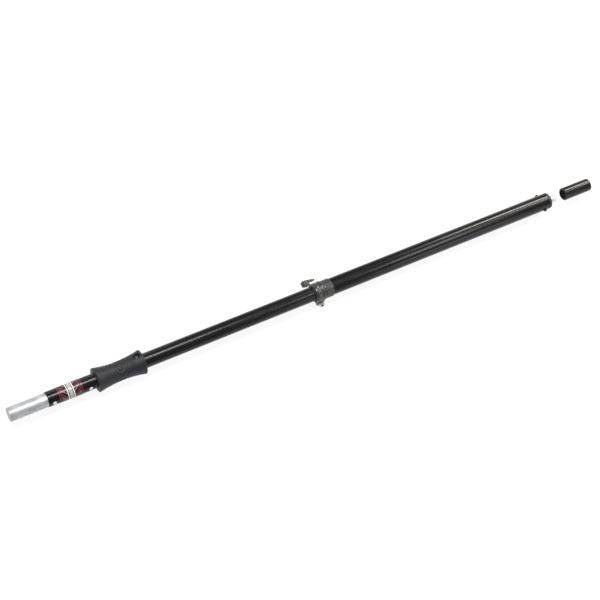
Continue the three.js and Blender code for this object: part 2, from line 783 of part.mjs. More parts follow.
function adapterPieces() {
  const radius = adapterDiameter / 2;
  const bore = adapterBoreDiameter / 2;
  const end = adapterStart + adapterLength;
  const outline = [
    [adapterStart + adapterRimBevel, bore],
    [adapterStart, bore + adapterRimBevel],
    [adapterStart, radius - adapterRimBevel],
    [adapterStart + adapterRimBevel, radius],
    ...roundedEnd(end, radius, adapterTipRounding),
    [end, bore],
    [adapterStart + adapterRimBevel, bore],
  ];
  const insertStart = adapterStart + adapterInsertSetback;
  const insertEnd = insertStart + adapterInsertLength;
  const insertOutline = ringOutline(insertStart, insertEnd, mountScrewBore, bore - fitGap);
  return [
    piece("adapter_sleeve", turned(outline), "blackAnodised"),
    piece("adapter_insert", turned(insertOutline), "blackSteel"),
  ];
}

// What moves together is one group
function group(name, ...members) {
  const made = new THREE.Group();
  made.name = name;
  made.add(...members);
  return made;
}

const outerAssembly = group(
  "outer_assembly",
  outerTubePiece(),
  ...collarPieces(),
  ...bushPieces(),
  clampNutPieces(),
  ...tailPlugPieces(),
  ...mountScrewPieces(),
);
const knobAssembly = group("knob_assembly", knobGroup());
const slideRings = group("slide_rings", ...slideRingPieces());
const innerAssembly = group(
  "inner_assembly",
  ...spigotPieces(),
  ...innerTubePieces(),
  ...gripPieces(),
  ...pistonPieces(),
);
innerAssembly.rotation.x = -innerTubeTurn;
const adapterAssembly = group("adapter_assembly", ...adapterPieces());

const pole = group("speaker_pole", outerAssembly, knobAssembly, slideRings, innerAssembly, adapterAssembly);

// The origin is under the middle of the pole, on the surface that its ears rest on.
const box = new THREE.Box3().setFromObject(pole, true);
const centre = box.getCenter(new THREE.Vector3());
pole.position.set(-centre.x, -centre.y, -box.min.z);

export default pole;
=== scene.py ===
# %% [markdown]
# # A telescoping speaker pole
#
# This pole stands on a bass cabinet and carries a loudspeaker. A thin black tube slides out of a
# thicker one, a clamp collar with a T-knob holds it, and a rubber grip gives the hand something to
# lift. The model is built in the order in which the pole would be put together on a bench: tubes,
# rivets, grip, clamp, tail and adapter sleeve. Each step says what the piece is, how it could be made
# in Blender, and why it is made the way it is.

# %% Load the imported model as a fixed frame
import json
import math

import bmesh
import bpy
import numpy as np
from mathutils import Matrix, Vector

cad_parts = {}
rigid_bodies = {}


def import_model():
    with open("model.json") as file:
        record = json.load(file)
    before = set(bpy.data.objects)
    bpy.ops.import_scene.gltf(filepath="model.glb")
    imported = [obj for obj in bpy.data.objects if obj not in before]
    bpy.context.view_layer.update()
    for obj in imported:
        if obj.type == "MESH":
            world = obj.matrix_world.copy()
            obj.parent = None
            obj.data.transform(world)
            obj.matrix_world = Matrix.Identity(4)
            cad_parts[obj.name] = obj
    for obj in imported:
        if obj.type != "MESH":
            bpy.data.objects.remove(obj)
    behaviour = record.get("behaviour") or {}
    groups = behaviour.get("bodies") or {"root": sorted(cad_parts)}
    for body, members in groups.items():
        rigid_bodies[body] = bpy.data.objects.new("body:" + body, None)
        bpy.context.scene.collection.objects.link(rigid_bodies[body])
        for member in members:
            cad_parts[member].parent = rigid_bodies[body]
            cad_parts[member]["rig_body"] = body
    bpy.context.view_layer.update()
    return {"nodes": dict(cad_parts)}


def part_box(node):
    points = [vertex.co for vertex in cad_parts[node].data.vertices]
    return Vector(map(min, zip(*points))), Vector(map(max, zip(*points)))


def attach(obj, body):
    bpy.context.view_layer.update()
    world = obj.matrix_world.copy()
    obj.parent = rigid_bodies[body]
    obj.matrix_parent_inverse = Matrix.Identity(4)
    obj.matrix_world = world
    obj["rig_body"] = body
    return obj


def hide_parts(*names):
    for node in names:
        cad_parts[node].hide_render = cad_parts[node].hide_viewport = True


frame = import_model()
nodes = frame["nodes"]

# %% [markdown]
# ## Measuring the frame
#
# Everything is placed by the frame, so nothing is fitted by eye. A piece is worked out in millimetres,
# the unit that a maker would use, and turned to metres only when its mesh is made. The pole lies along
# X, and the outer tube's box says where its centre line runs.

# %% Spans of the frame's nodes, in millimetres
MM = 0.001
OVERRUN = 1.0  # how far a cutter runs past what it cuts
CLEARANCE = 0.3  # a side, between a bore and what goes into it


def span(node):
    """A node's lowest and highest corner, in millimetres."""
    low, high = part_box(node)
    return np.array(low) / MM, np.array(high) / MM


def half_width(node, axis=1):
    """Half of a node's size along one axis, which is the radius of a round one."""
    low, high = span(node)
    return (high[axis] - low[axis]) / 2


def middle(node):
    """The middle of a node's box, in millimetres."""
    low, high = span(node)
    return (low + high) / 2


outer_low, outer_high = span("outer_tube")
CENTRE = np.array((0.0, (outer_low[1] + outer_high[1]) / 2, (outer_low[2] + outer_high[2]) / 2))
OUTER_RADIUS = half_width("outer_tube")
INNER_RADIUS = 38.1 / 2
SPIGOT_RADIUS = 34.9 / 2


def ends(node, axis=0):
    """Where a node starts and ends along one axis, in millimetres from the pole's centre. Along the
    pole these are its stations."""
    low, high = span(node)
    return low[axis] - CENTRE[axis], high[axis] - CENTRE[axis]


print("the pole's centre line is at Y", round(CENTRE[1], 3), "and Z", round(CENTRE[2], 3))

# %% [markdown]
# ## The camera
#
# The photograph was taken with a long lens from almost four metres away. It looks down on the pole from
# its near side, and the pole climbs to the right and leans away from the camera. Three angles say all
# of that. A camera could be aimed with a Track To constraint, but the roll would be lost, so its axes
# are worked out here and written straight into its matrix.

# %% Camera axes from three angles
LENS = 87.0
DISTANCE = 3704.0  # from the pole, in millimetres
SLOPE = math.radians(21.71)  # how steeply the pole climbs in the picture
LEAN = math.radians(21.3)  # how far its right end leans away
ROUND = math.radians(21.0)  # from straight above towards the near side
AIM_STATION = -67.5  # the station on the pole nearest the middle of the picture
AIM_RIGHT, AIM_UP = 1.4, -2.1  # from there to the middle of the picture

along = np.array((1.0, 0.0, 0.0))
facing = np.array((0.0, -math.sin(ROUND), math.cos(ROUND)))  # out of the pole towards the camera
above = np.array((0.0, math.cos(ROUND), math.sin(ROUND)))  # up across the pole in the picture
view_line = math.sin(LEAN) * along - math.cos(LEAN) * facing
climb = math.cos(LEAN) * along + math.sin(LEAN) * facing
camera_right = math.cos(SLOPE) * climb - math.sin(SLOPE) * above
camera_up = math.sin(SLOPE) * climb + math.cos(SLOPE) * above

aim = CENTRE + AIM_STATION * along + AIM_RIGHT * camera_right + AIM_UP * camera_up
place = (aim - DISTANCE * view_line) * MM
camera_data = bpy.data.cameras.new("camera")
camera_data.lens = LENS
camera = bpy.data.objects.new("camera", camera_data)
bpy.context.scene.collection.objects.link(camera)
axes = np.column_stack((camera_right, camera_up, -view_line))
camera.matrix_world = Matrix.Translation(Vector(place)) @ Matrix(axes.tolist()).to_4x4()
bpy.context.scene.camera = camera
bpy.context.scene.view_settings.view_transform = "Standard"
print("camera at", np.round(place, 2), "looking along", np.round(view_line, 3))

# %% [markdown]
# ## Surfaces from formulas
#
# Nearly every piece of a pole was turned, drawn or moulded round an axis. The Screw modifier could spin
# a drawn outline, but a formula gives more: a surface is a grid of points, one row for each point of an
# outline and one column for each direction round the axis, and its radius may depend on both. That one
# idea gives plain tubes, hexagons, threads and the ripples of the grip.

# %% Faces of a grid, and a mesh from points and faces
MERGE = 0.001  # points closer than this, in millimetres, become one
SHARP = math.radians(32)  # a bend sharper than this keeps a hard line
CUTTER_SIDES, FINE_SIDES = 32, 96  # directions round a cutter, and round a small bright piece


def grid_faces(rows, columns, closed):
    """Quads between neighbours. Point (row, column) has number row * columns + column, columns go
    all the way round, and a closed outline's last row joins its first."""
    row, column = np.meshgrid(np.arange(rows if closed else rows - 1), np.arange(columns), indexing="ij")
    next_row, next_column = (row + 1) % rows, (column + 1) % columns
    corners = [
        row * columns + column,
        row * columns + next_column,
        next_row * columns + next_column,
        next_row * columns + column,
    ]
    return np.stack(corners, axis=-1).reshape(-1, 4)


def shade(piece):
    """Smooth shading, with a hard line wherever two faces meet at more than the sharp angle."""
    piece.data.shade_smooth()
    piece.data.set_sharp_from_angle(angle=SHARP)
    return piece


def surface(name, points, faces):
    """A mesh object from points in millimetres. Points that meet become one, which closes seams and
    poles, and every face is turned outwards."""
    mesh = bpy.data.meshes.new(name)
    mesh.from_pydata((np.asarray(points) * MM).tolist(), [], faces.tolist())
    body = bmesh.new()
    body.from_mesh(mesh)
    bmesh.ops.remove_doubles(body, verts=body.verts, dist=MERGE * MM)
    bmesh.ops.recalc_face_normals(body, faces=body.faces)
    body.to_mesh(mesh)
    body.free()
    piece = bpy.data.objects.new(name, mesh)
    bpy.context.scene.collection.objects.link(piece)
    return shade(piece)


# %% Spindles and spun surfaces
def spindle(origin, axis, turn=0.0):
    """An axis to spin on: its origin, its direction, and two directions square to it."""
    axis = np.asarray(axis, float)
    first = np.array((0.0, 1.0, 0.0)) if abs(axis[0]) > 0.5 else np.array((1.0, 0.0, 0.0))
    second = np.cross(axis, first)
    turned = math.cos(turn) * first + math.sin(turn) * second
    return np.asarray(origin, float), axis, turned, np.cross(axis, turned)


POLE = spindle(CENTRE, along)


def spun(outline, about=POLE, sides=128, shape=None):
    """Carries an outline of (height, radius) pairs round a spindle: point = origin + height * axis +
    radius * (cos * first + sin * second). A shape may change height and radius by direction. An
    outline that starts off the axis closes on itself."""
    origin, axis, first, second = about
    outline = np.asarray(outline, float)
    angle = np.arange(sides)[None, :] * 2 * np.pi / sides
    height = outline[:, :1] + 0 * angle
    radius = outline[:, 1:] + 0 * angle
    if shape is not None:
        height, radius = shape(height, radius, angle)
    across = np.cos(angle)[..., None] * first + np.sin(angle)[..., None] * second
    points = origin + height[..., None] * axis + radius[..., None] * across
    return points.reshape(-1, 3), grid_faces(len(outline), sides, outline[0, 1] > 0)


# %% Softened corners
def softened(outline, reach, steps=4):
    """Rounds an outline's corners. Corner P gives way to the curve (1-t)^2 A + 2t(1-t) P + t^2 B,
    where A and B lie `reach` before and after it, and at most 0.45 of the side. Points on the axis
    stay. Reach is one length, or one for each corner."""
    points = np.asarray(outline, float)
    before, after = np.roll(points, 1, axis=0) - points, np.roll(points, -1, axis=0) - points
    long_before = np.maximum(np.linalg.norm(before, axis=1), MERGE)
    long_after = np.maximum(np.linalg.norm(after, axis=1), MERGE)
    take = np.minimum(reach, 0.45 * np.minimum(long_before, long_after))
    take = np.where(points[:, 1] > 0, take, 0)
    start = (points + before * (take / long_before)[:, None])[:, None]
    end = (points + after * (take / long_after)[:, None])[:, None]
    t = np.linspace(0, 1, steps + 1)[None, :, None]
    return ((1 - t) ** 2 * start + 2 * t * (1 - t) * points[:, None] + t**2 * end).reshape(-1, 2)


def ring(start, end, bore, radius, edge=0.3):
    """The outline of a ring between two stations, with softened edges."""
    return softened([(start, bore), (start, radius), (end, radius), (end, bore)], edge)


def rod(start, end, radius, edge=0.0):
    """The outline of a solid rod between two stations."""
    return softened([(start, 0), (start, radius), (end, radius), (end, 0)], edge)


print("a ring outline has", len(ring(0, 10, 4, 5)), "points")

# %% [markdown]
# ## Standing in for the frame's nodes
#
# The frame's own round solids have about forty flat sides, which is right for collision and coarse for
# the eye. A finer piece takes a node's place and rides on the same body, which is read from the frame,
# and it gets its own finish. Cuts are made with the Boolean modifier's exact solver, and settled into
# the mesh at once.


def dress(piece, node, coat):
    """The piece gets its finish, rides on the node's body and is shown in the node's place."""
    piece.data.materials.clear()
    piece.data.materials.append(coat)
    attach(piece, nodes[node]["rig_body"])
    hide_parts(node)
    return piece


def settle(piece):
    """Writes what the modifiers make into the mesh, and takes the modifiers off."""
    graph = bpy.context.evaluated_depsgraph_get()
    finished = bpy.data.meshes.new_from_object(piece.evaluated_get(graph))
    piece.modifiers.clear()
    piece.data = finished
    return shade(piece)


def combine(piece, others, operation):
    """Joins or cuts closed meshes, which are then thrown away."""
    for other in others:
        step = piece.modifiers.new("combine", "BOOLEAN")
        step.operation = operation
        step.object = other
        step.solver = "EXACT"
    settle(piece)
    for other in others:
        bpy.data.objects.remove(other)
    return piece


def cross_rod(station, direction, radius, start, end):
    """A round cutter across the pole, from one radius out to another."""
    about = spindle(CENTRE + station * along, direction)
    return surface("cutter", *spun(rod(start, end, radius), about, CUTTER_SIDES))


INNER_TURN = math.radians(18)  # how far the inner tube is turned in the outer one


def outwards(degrees, turn=0.0):
    """A direction out of the pole, at an angle from the knob's side, less a turn in radians."""
    angle = math.radians(degrees) - turn
    return (0.0, math.cos(angle), math.sin(angle))


TO_KNOB, UPWARDS, FROM_KNOB, DOWNWARDS = (outwards(degrees) for degrees in (0, 90, 180, 270))
INNER_FAR, INNER_UP, INNER_NEAR = (outwards(degrees, INNER_TURN) for degrees in (0, 90, 180))

# %% [markdown]
# ## Building materials
#
# A material is a Principled shader whose colour, roughness and bump are varied by noise on Object
# coordinates. Those are the frame's own metres, so a pattern's size can be written in millimetres and
# is right on every piece. One function adds any node: a socket given as an input is linked, and
# anything else is set on it.

# %% Nodes, colours and grain
# The parts of a noise over which a colour and a number change. Beyond them both stay even.
COLOUR_BAND, NUMBER_BAND = (0.35, 0.65), (0.3, 0.7)


def add(tree, kind, inputs=None, **settings):
    """Adds a node of a kind, with its settings and its inputs."""
    made = tree.nodes.new(kind)
    for name, value in settings.items():
        setattr(made, name, value)
    for key, value in (inputs or {}).items():
        if isinstance(value, bpy.types.NodeSocket):
            tree.links.new(value, made.inputs[key])
        else:
            made.inputs[key].default_value = value
    return made


def linear(colour):
    """An sRGB hex colour as linear red, green, blue and alpha."""
    channels = np.array([int(colour[place : place + 2], 16) for place in (1, 3, 5)]) / 255
    low, high = channels / 12.92, ((channels + 0.055) / 1.055) ** 2.4
    return (*np.where(channels <= 0.04045, low, high).tolist(), 1.0)


def grain(tree, size, detail=3.0):
    """Noise on Object coordinates, with spots of size (x, y, z) in millimetres."""
    place = add(tree, "ShaderNodeTexCoord")
    scale = [1 / (length * MM) for length in size]
    fitted = add(tree, "ShaderNodeMapping", {"Vector": place.outputs["Object"], "Scale": scale})
    noise = add(tree, "ShaderNodeTexNoise", {"Vector": fitted.outputs[0], "Scale": 1.0, "Detail": detail})
    return noise.outputs[0]


def blended(tree, pattern, dark, pale):
    """A colour that follows the pattern from dark to pale."""
    start, end = COLOUR_BAND
    share = add(tree, "ShaderNodeMapRange", {"Value": pattern, "From Min": start, "From Max": end})
    inputs = {0: share.outputs[0], 6: linear(dark), 7: linear(pale)}
    return add(tree, "ShaderNodeMix", inputs, data_type="RGBA").outputs[2]


def between(tree, pattern, low, high):
    """A number that follows the pattern from low to high."""
    start, end = NUMBER_BAND
    inputs = {"Value": pattern, "From Min": start, "From Max": end, "To Min": low, "To Max": high}
    return add(tree, "ShaderNodeMapRange", inputs).outputs[0]


def raised(tree, pattern, height, strength):
    """Bump from a pattern, with its height in millimetres."""
    inputs = {"Height": pattern, "Distance": height * MM, "Strength": strength}
    return add(tree, "ShaderNodeBump", inputs).outputs[0]


# %% A finish from three grains
def finish(name, **sockets):
    """A new material with a Principled shader, whose sockets are set by name, with _ for a space."""
    material = bpy.data.materials.new(name)
    material.use_nodes = True
    tree = material.node_tree
    tree.nodes.clear()
    values = {socket.replace("_", " "): value for socket, value in sockets.items()}
    shader = add(tree, "ShaderNodeBsdfPrincipled", values)
    add(tree, "ShaderNodeOutputMaterial", {"Surface": shader.outputs[0]})
    return material, tree, shader


def feed(tree, shader, **sources):
    """Links patterns to the shader's sockets by name, with _ for a space."""
    for name, source in sources.items():
        tree.links.new(source, shader.inputs[name.replace("_", " ")])


def grained(name, colour, roughness, bump, **sockets):
    """A finish whose colour, roughness and bump each follow a grain. Colour is (dark, pale, size),
    roughness is (low, high, size) and bump is (height, strength, size). A size is three lengths in
    millimetres, and the noise's detail may follow it."""
    material, tree, shader = finish(name, **sockets)
    feed(
        tree,
        shader,
        Base_Color=blended(tree, grain(tree, *colour[2:]), *colour[:2]),
        Roughness=between(tree, grain(tree, *roughness[2:]), *roughness[:2]),
        Normal=raised(tree, grain(tree, *bump[2:]), *bump[:2]),
    )
    return material


def even(length):
    """A grain of the same size in every direction."""
    return (length, length, length)


# %% [markdown]
# ## The metals
#
# Black anodised aluminium is drawn tube with a dyed oxide skin. The oxide is clear and the dye is deep,
# so it looks nearly black, with a soft silver line where a lamp is mirrored and pale rims where it is
# seen at a slant. Drawing leaves faint lines along the tube, and sliding leaves dull scuffs. The bare
# spigot is the same tube without the dye, so it is bright and satin.

# %% Drawn aluminium, dyed black and bare
def black_anodised(name="black anodised aluminium", dark="#0c0c0e", pale="#131315"):
    clouds = (45, 14, 14)  # scuffs, longer along the tube than round it
    lines = (160, 1.6, 1.6)  # drawing lines, ten times coarser than real so that they show
    skin = {"Metallic": 0.2, "Specular_IOR_Level": 0.4}  # a clear oxide over the metal
    return grained(name, (dark, pale, clouds), (0.24, 0.27, clouds), (0.01, 0.04, lines), **skin)


def bare_aluminium(name="bare satin aluminium", dark="#a6a8ab", pale="#bcbec0"):
    clouds = (18, 9, 9)
    lines = (60, 1.1, 1.1)  # drawing lines, coarser than real so that they show
    return grained(name, (dark, pale, clouds), (0.46, 0.54, clouds), (0.02, 0.08, lines), Metallic=0.7)


# %% [markdown]
# The clamp's collar is a zinc die casting under grey paint. Paint over a casting is smooth to the touch
# and still a little wavy, like orange skin, so its highlights break up. The small fasteners are zinc
# plated or blackened steel, and both keep the marks of the tool that turned them.

# %% Paint on a casting, bright steel and black steel
def grey_paint():
    waves = even(2.2)  # the waves of the paint, a couple of millimetres long
    colour = ("#3a3a39", "#50504e", even(4), 4.0)
    return grained(
        "grey painted die casting", colour, (0.28, 0.36, waves), (0.1, 0.2, waves), Metallic=0.55
    )


def bright_steel():
    marks = even(1.2)  # tool marks, coarser than real so that they show
    colour = ("#dfe1df", "#f2f3f1", marks)
    return grained("zinc plated steel", colour, (0.16, 0.3, marks), (0.03, 0.2, marks), Metallic=0.5)


def black_steel(name="black oxide steel", dark="#0d0d0d", pale="#1c1a18"):
    marks = even(1.6)  # tool marks again, softened by the oxide
    return grained(name, (dark, pale, marks), (0.3, 0.45, marks), (0.04, 0.25, marks), Metallic=0.7)


# %% [markdown]
# ## The mouldings
#
# The knob, the plug and the bush are black nylon from a mould with a fine eroded texture, which makes
# them even and dull. The grip is a softer charcoal rubber: its grain is finer, its highlights are
# broad, and a little sheen lifts its edges. The inner rings are natural nylon, which is cream, and the
# seals are plain black rubber.

# %% Nylon and rubber
ROUGHNESS_SWAY = 0.08  # how far a moulding's roughness goes either way


def moulded_nylon(name, dark, pale, roughness):
    pits = even(0.9)  # the mould's texture, coarser than real so that it shows
    dullness = (roughness - ROUGHNESS_SWAY, roughness + ROUGHNESS_SWAY, pits)
    return grained(name, (dark, pale, even(8)), dullness, (0.08, 0.4, pits), IOR=1.53)


def grip_rubber():
    skin = even(0.7)  # the rubber's grain, coarser than real so that it shows
    colour = ("#101216", "#181a20", even(16), 5.0)
    soft = {"IOR": 1.52, "Specular_IOR_Level": 0.35, "Sheen_Weight": 0.08, "Sheen_Roughness": 0.5}
    return grained("charcoal grip rubber", colour, (0.48, 0.64, skin), (0.1, 0.35, skin), **soft)


def seal_rubber():
    skin = even(0.6)
    colour = ("#0b0b0b", "#151515", skin)
    return grained("black seal rubber", colour, (0.5, 0.7, skin), (0.05, 0.3, skin), IOR=1.52)


# %% Make every finish once
TUBE_BLACK = black_anodised()
SLEEVE_BLACK = black_anodised("black anodised sleeve", "#131211", "#1e1c1b")
ALUMINIUM = bare_aluminium()
RIVET_ALUMINIUM = bare_aluminium("pressed aluminium rivet", "#e4e5e6", "#f2f3f3")
PAINT = grey_paint()
BRIGHT = bright_steel()
BLACK_STEEL = black_steel()
# The grip's screw is made a lighter grey steel than the other black steel parts.
GRIP_SCREW_STEEL = black_steel("light grey steel", "#4a4a4c", "#626264")
INSERT_STEEL = black_steel("bronzed steel insert", "#1d130b", "#33241a")
NYLON_BLACK = moulded_nylon("moulded black nylon", "#141415", "#1c1c1e", 0.52)
KNOB_BLACK = moulded_nylon("moulded charcoal nylon", "#1c1c1b", "#282826", 0.5)
NYLON_CREAM = moulded_nylon("natural nylon", "#cfc9b8", "#dcd7c8", 0.45)
GRIP_RUBBER = grip_rubber()
SEAL_RUBBER = seal_rubber()
print(len(bpy.data.materials), "finishes")

# %% [markdown]
# ## Tubes
#
# The spigot, the inner tube and the outer tube are drawn aluminium. A cylinder with a Solidify modifier
# would do, but a spun ring keeps the inner wall and both rims in one outline, and softening its corners
# by a fraction of a millimetre gives each rim the thin bright line that a deburred tube has. The holes
# for the rivets and screws are cut right through, as a drill would.

# %% Holes, then the three tubes
SPIGOT_WALL, INNER_WALL, OUTER_WALL = 2.0, 1.25, 1.6
HOLE_RADIUS = 2.7
SCREW_HOLE_RADIUS = 2.3


def drill(stations, direction, radius, reach):
    """Cutters right across the pole."""
    return [cross_rod(station, direction, radius, -reach, reach) for station in stations]


def tube(node, radius, wall, coat, cutters, edge=0.35):
    """A drawn tube as long as its node, with its holes drilled."""
    made = surface(node + "_drawn", *spun(ring(*ends(node), radius - wall, radius, edge)))
    return dress(combine(made, cutters, "DIFFERENCE"), node, coat)


rivet_stations = [middle("spigot_rivet_front_near")[0], middle("spigot_rivet_rear_near")[0]]
grip_screw_station = middle("grip_screw")[0]
pin_station = middle("piston_pin")[0]
tail_screw_station = middle("tail_screw_near")[0]

spigot_holes = drill(rivet_stations, INNER_FAR, HOLE_RADIUS, INNER_RADIUS)
tube("spigot_tube", SPIGOT_RADIUS, SPIGOT_WALL, ALUMINIUM, spigot_holes)
inner_reach = INNER_RADIUS + OVERRUN
inner_holes = drill([*rivet_stations, pin_station], INNER_FAR, HOLE_RADIUS, inner_reach)
inner_holes.append(
    cross_rod(grip_screw_station, INNER_UP, SCREW_HOLE_RADIUS, INNER_RADIUS / 2, inner_reach)
)
tube("inner_tube", INNER_RADIUS, INNER_WALL, TUBE_BLACK, inner_holes)
outer_holes = drill([tail_screw_station], TO_KNOB, HOLE_RADIUS, OUTER_RADIUS + OVERRUN)
tube("outer_tube", OUTER_RADIUS, OUTER_WALL, TUBE_BLACK, outer_holes)
print("rivets at", np.round(rivet_stations, 1))

# %% [markdown]
# ## Tip cap and rivets
#
# The spigot's tip is closed by a pressed aluminium cap with a generous round. The rivets are blind
# rivets: a low dome with the dark hole that the snapped mandrel leaves. A rivet's head is pulled down
# on to a round tube, so its underside isn't flat. The formula lowers each point by as much as the tube
# falls away under it, R - sqrt(R^2 - b^2), where b is how far round the tube the point lies.

# %% Cap and rivets
CAP_THICKNESS, CAP_ROUND, CAP_PLUG_GAP = 4.0, 3.2, 0.3
cap_start, cap_end = ends("spigot_tip_cap")
cap_plug = SPIGOT_RADIUS - SPIGOT_WALL - CAP_PLUG_GAP
cap_outline = [
    (cap_start, 0),
    (cap_start, SPIGOT_RADIUS),
    (cap_start + CAP_THICKNESS, SPIGOT_RADIUS),
    (cap_start + CAP_THICKNESS, cap_plug),
    (cap_end, cap_plug),
    (cap_end, 0),
]
cap_softness = np.array((0, CAP_ROUND, 0.3, 0.3, 1.0, 0))
cap = surface("spigot_tip_cap_pressed", *spun(softened(cap_outline, cap_softness, 8)))
dress(cap, "spigot_tip_cap", ALUMINIUM)

SEAT_GAP = 0.05  # keeps a head just off what it sits on
RIVET_SIDES, RIVET_SOFTNESS = 64, 0.8
RIVET = dict(head=4.8, rise=1.75, shank=2.35, depth=3.2, hole=1.0, hole_depth=1.2, dip=0.1)
RIVET_DOME = [(0.45, 0.97), (0.88, 0.66), (1.0, 0.4)]


def headed(seat, size, dome):
    """The outline of a rivet or a screw, from the end of its shank to the hole in its head. The dome is
    pairs of shares, of the head's rise and of its radius."""
    top = seat + size["rise"]
    hole_floor = top - size["hole_depth"]
    return [
        (seat - size["depth"], 0),
        (seat - size["depth"], size["shank"]),
        (seat, size["shank"]),
        (seat, size["head"]),
        *[(seat + size["rise"] * up, size["head"] * out) for up, out in dome],
        (top - size["dip"], size["hole"]),
        (hole_floor, size["hole"]),
        (hole_floor, 0),
    ]


def hugging(tube_radius):
    """A shape that lowers every point by the fall of a tube under it."""

    def shape(height, radius, angle):
        round_tube = radius * np.sin(angle)
        return height - tube_radius + np.sqrt(tube_radius**2 - round_tube**2), radius

    return shape


def blind_rivet(node, direction, tube_radius):
    """A rivet at its node's station, whose head follows the tube under it."""
    outline = softened(headed(tube_radius + SEAT_GAP, RIVET, RIVET_DOME), RIVET_SOFTNESS, steps=6)
    about = spindle(CENTRE + middle(node)[0] * along, direction)
    made = surface(node + "_set", *spun(outline, about, RIVET_SIDES, hugging(tube_radius)))
    return dress(made, node, RIVET_ALUMINIUM)


for where in ("front", "rear"):
    blind_rivet(f"spigot_rivet_{where}_near", INNER_NEAR, INNER_RADIUS)
    blind_rivet(f"spigot_rivet_{where}_far", INNER_FAR, INNER_RADIUS)
print("four rivets set")

# %% [markdown]
# ## Label wrap
#
# A printed vinyl wrap sits between the rivets. It could be painted with a stack of maths nodes, but ink
# has crisp edges and flat colours, so each face of a fine grid gets one ink, worked out from where its
# middle lies: x along the pole and the angle round it. The inks go into a colour attribute that the
# material reads. The design is plain rings and slanted stripes, with no words.

# %% Inks by place
WRAP_LIFT, WRAP_THICKNESS, WRAP_CELL, WRAP_SIDES = 0.1, 0.35, 0.5, 240
INKS = {
    "black": "#0e0f10",
    "white": "#e9ebe9",
    "silver": "#9fa5a1",
    "red": "#6e1625",
    "wine": "#5e1722",
    "grey": "#7c8480",
}
# Rings right round the wrap, by lengthwise shares, painted over the stripes
RING_SHARES = [
    ("red", 0.00, 0.04),
    ("black", 0.04, 0.08),
    ("white", 0.36, 0.39),
    ("black", 0.39, 0.43),
    ("silver", 0.43, 0.57),
    ("black", 0.57, 0.61),
    ("white", 0.61, 0.64),
    ("black", 0.92, 0.96),
    ("red", 0.96, 1.00),
]
STRIPES_ROUND = 6  # a whole number, so that the stripes meet where the wrap closes
STRIPE_SLANT = 3.0  # how many stripes are crossed along the wrap's length
WINE_SHARE, GREY_START_SHARE, GREY_END_SHARE = 0.42, 0.54, 0.64  # of one stripe's width


def ink_places(x_share, degrees):
    """The ink of each place, as a number in the list of inks. Stripes slant away from the middle on both
    sides: phase = stripes * degrees / 360 + slant * |share - 1/2|, and rings lie over them."""
    names = list(INKS)
    phase = (STRIPES_ROUND * degrees / 360 + STRIPE_SLANT * np.abs(x_share - 0.5)) % 1
    ink = np.full(x_share.shape, names.index("black"))
    ink = np.where(phase < WINE_SHARE, names.index("wine"), ink)
    ink = np.where((phase > GREY_START_SHARE) & (phase < GREY_END_SHARE), names.index("grey"), ink)
    for name, ring_start, ring_end in RING_SHARES:
        ink = np.where((x_share >= ring_start) & (x_share <= ring_end), names.index(name), ink)
    return ink


def printed_vinyl():
    """Glossy vinyl whose colour is the ink of each face."""
    material, tree, shader = finish("printed vinyl", IOR=1.5)
    print_colour = add(tree, "ShaderNodeAttribute", attribute_name="ink")
    skin = grain(tree, (2.5, 2.5, 2.5))
    feed(
        tree,
        shader,
        Base_Color=print_colour.outputs["Color"],
        Roughness=between(tree, skin, 0.22, 0.34),
        Normal=raised(tree, skin, 0.05, 0.12),
    )
    return material


# %% The wrap
wrap_start, wrap_end = ends("label_wrap")
wrap_inside = INNER_RADIUS + WRAP_LIFT
wrap_stations = np.arange(wrap_start, wrap_end + WRAP_CELL / 2, WRAP_CELL)
wrap_outside = np.column_stack((wrap_stations, np.full(len(wrap_stations), wrap_inside + WRAP_THICKNESS)))
wrap_outline = np.vstack(([(wrap_start, wrap_inside)], wrap_outside, [(wrap_end, wrap_inside)]))
wrap = surface("label_wrap_printed", *spun(wrap_outline, sides=WRAP_SIDES))

middles = np.zeros(3 * len(wrap.data.polygons))
wrap.data.polygons.foreach_get("center", middles)
middles = middles.reshape(-1, 3) / MM - CENTRE
wrap_share = (middles[:, 0] - wrap_start) / (wrap_end - wrap_start)
wrap_degrees = np.degrees(np.arctan2(middles[:, 2], middles[:, 1])) % 360
inks = np.array([linear(colour) for colour in INKS.values()])[ink_places(wrap_share, wrap_degrees)]
corners_each = np.zeros(len(wrap.data.polygons), int)
wrap.data.polygons.foreach_get("loop_total", corners_each)
wrap.data.color_attributes.new("ink", "FLOAT_COLOR", "CORNER")
wrap.data.color_attributes["ink"].data.foreach_set("color", np.repeat(inks, corners_each, axis=0).ravel())
dress(wrap, "label_wrap", printed_vinyl())
print("the wrap has", len(inks), "faces in", len(INKS), "inks")

# %% [markdown]
# ## Hand grip
#
# The grip is a rubber moulding over a rigid core. Its waist is a parabola, and ripples spread from an
# oval on its top and on its underside, so that a hand doesn't slip. A displacement texture could push
# them out, but here the radius itself holds them: r = waist + rise * share^2 + height * cos(2 pi d /
# pitch), where d is the distance from the nearer oval's middle, measured shorter round the pole than
# along it. They fade out towards both ends, where the moulding is smooth.

# %% The grip's formula
GRIP_RIM, GRIP_WAIST = 31.25, 24.15
GRIP_BEVEL_LENGTH, GRIP_BEVEL_DEPTH = 2.0, 1.2
RIPPLE_PITCH, RIPPLE_HEIGHT, RIPPLE_ROUND_SHARE = 6.4, 0.5, 0.66
RIPPLE_START, RIPPLE_REACH, RIPPLE_FADE = 9.0, 37.0, 7.0
OVAL_HEIGHT = 0.5
GRIP_CELL, GRIP_SIDES = 0.55, 256
RIPPLE_SKIN = 1.2  # only points further than this outside the core are rippled
grip_start, grip_end = ends("grip_cover")
grip_middle = (grip_start + grip_end) / 2
core_radius = half_width("grip_core")


def faded(value, start, width):
    """1 below start, 0 beyond start + width, and a smooth step between."""
    share = np.clip((value - start) / width, 0, 1)
    return 1 - share**2 * (3 - 2 * share)


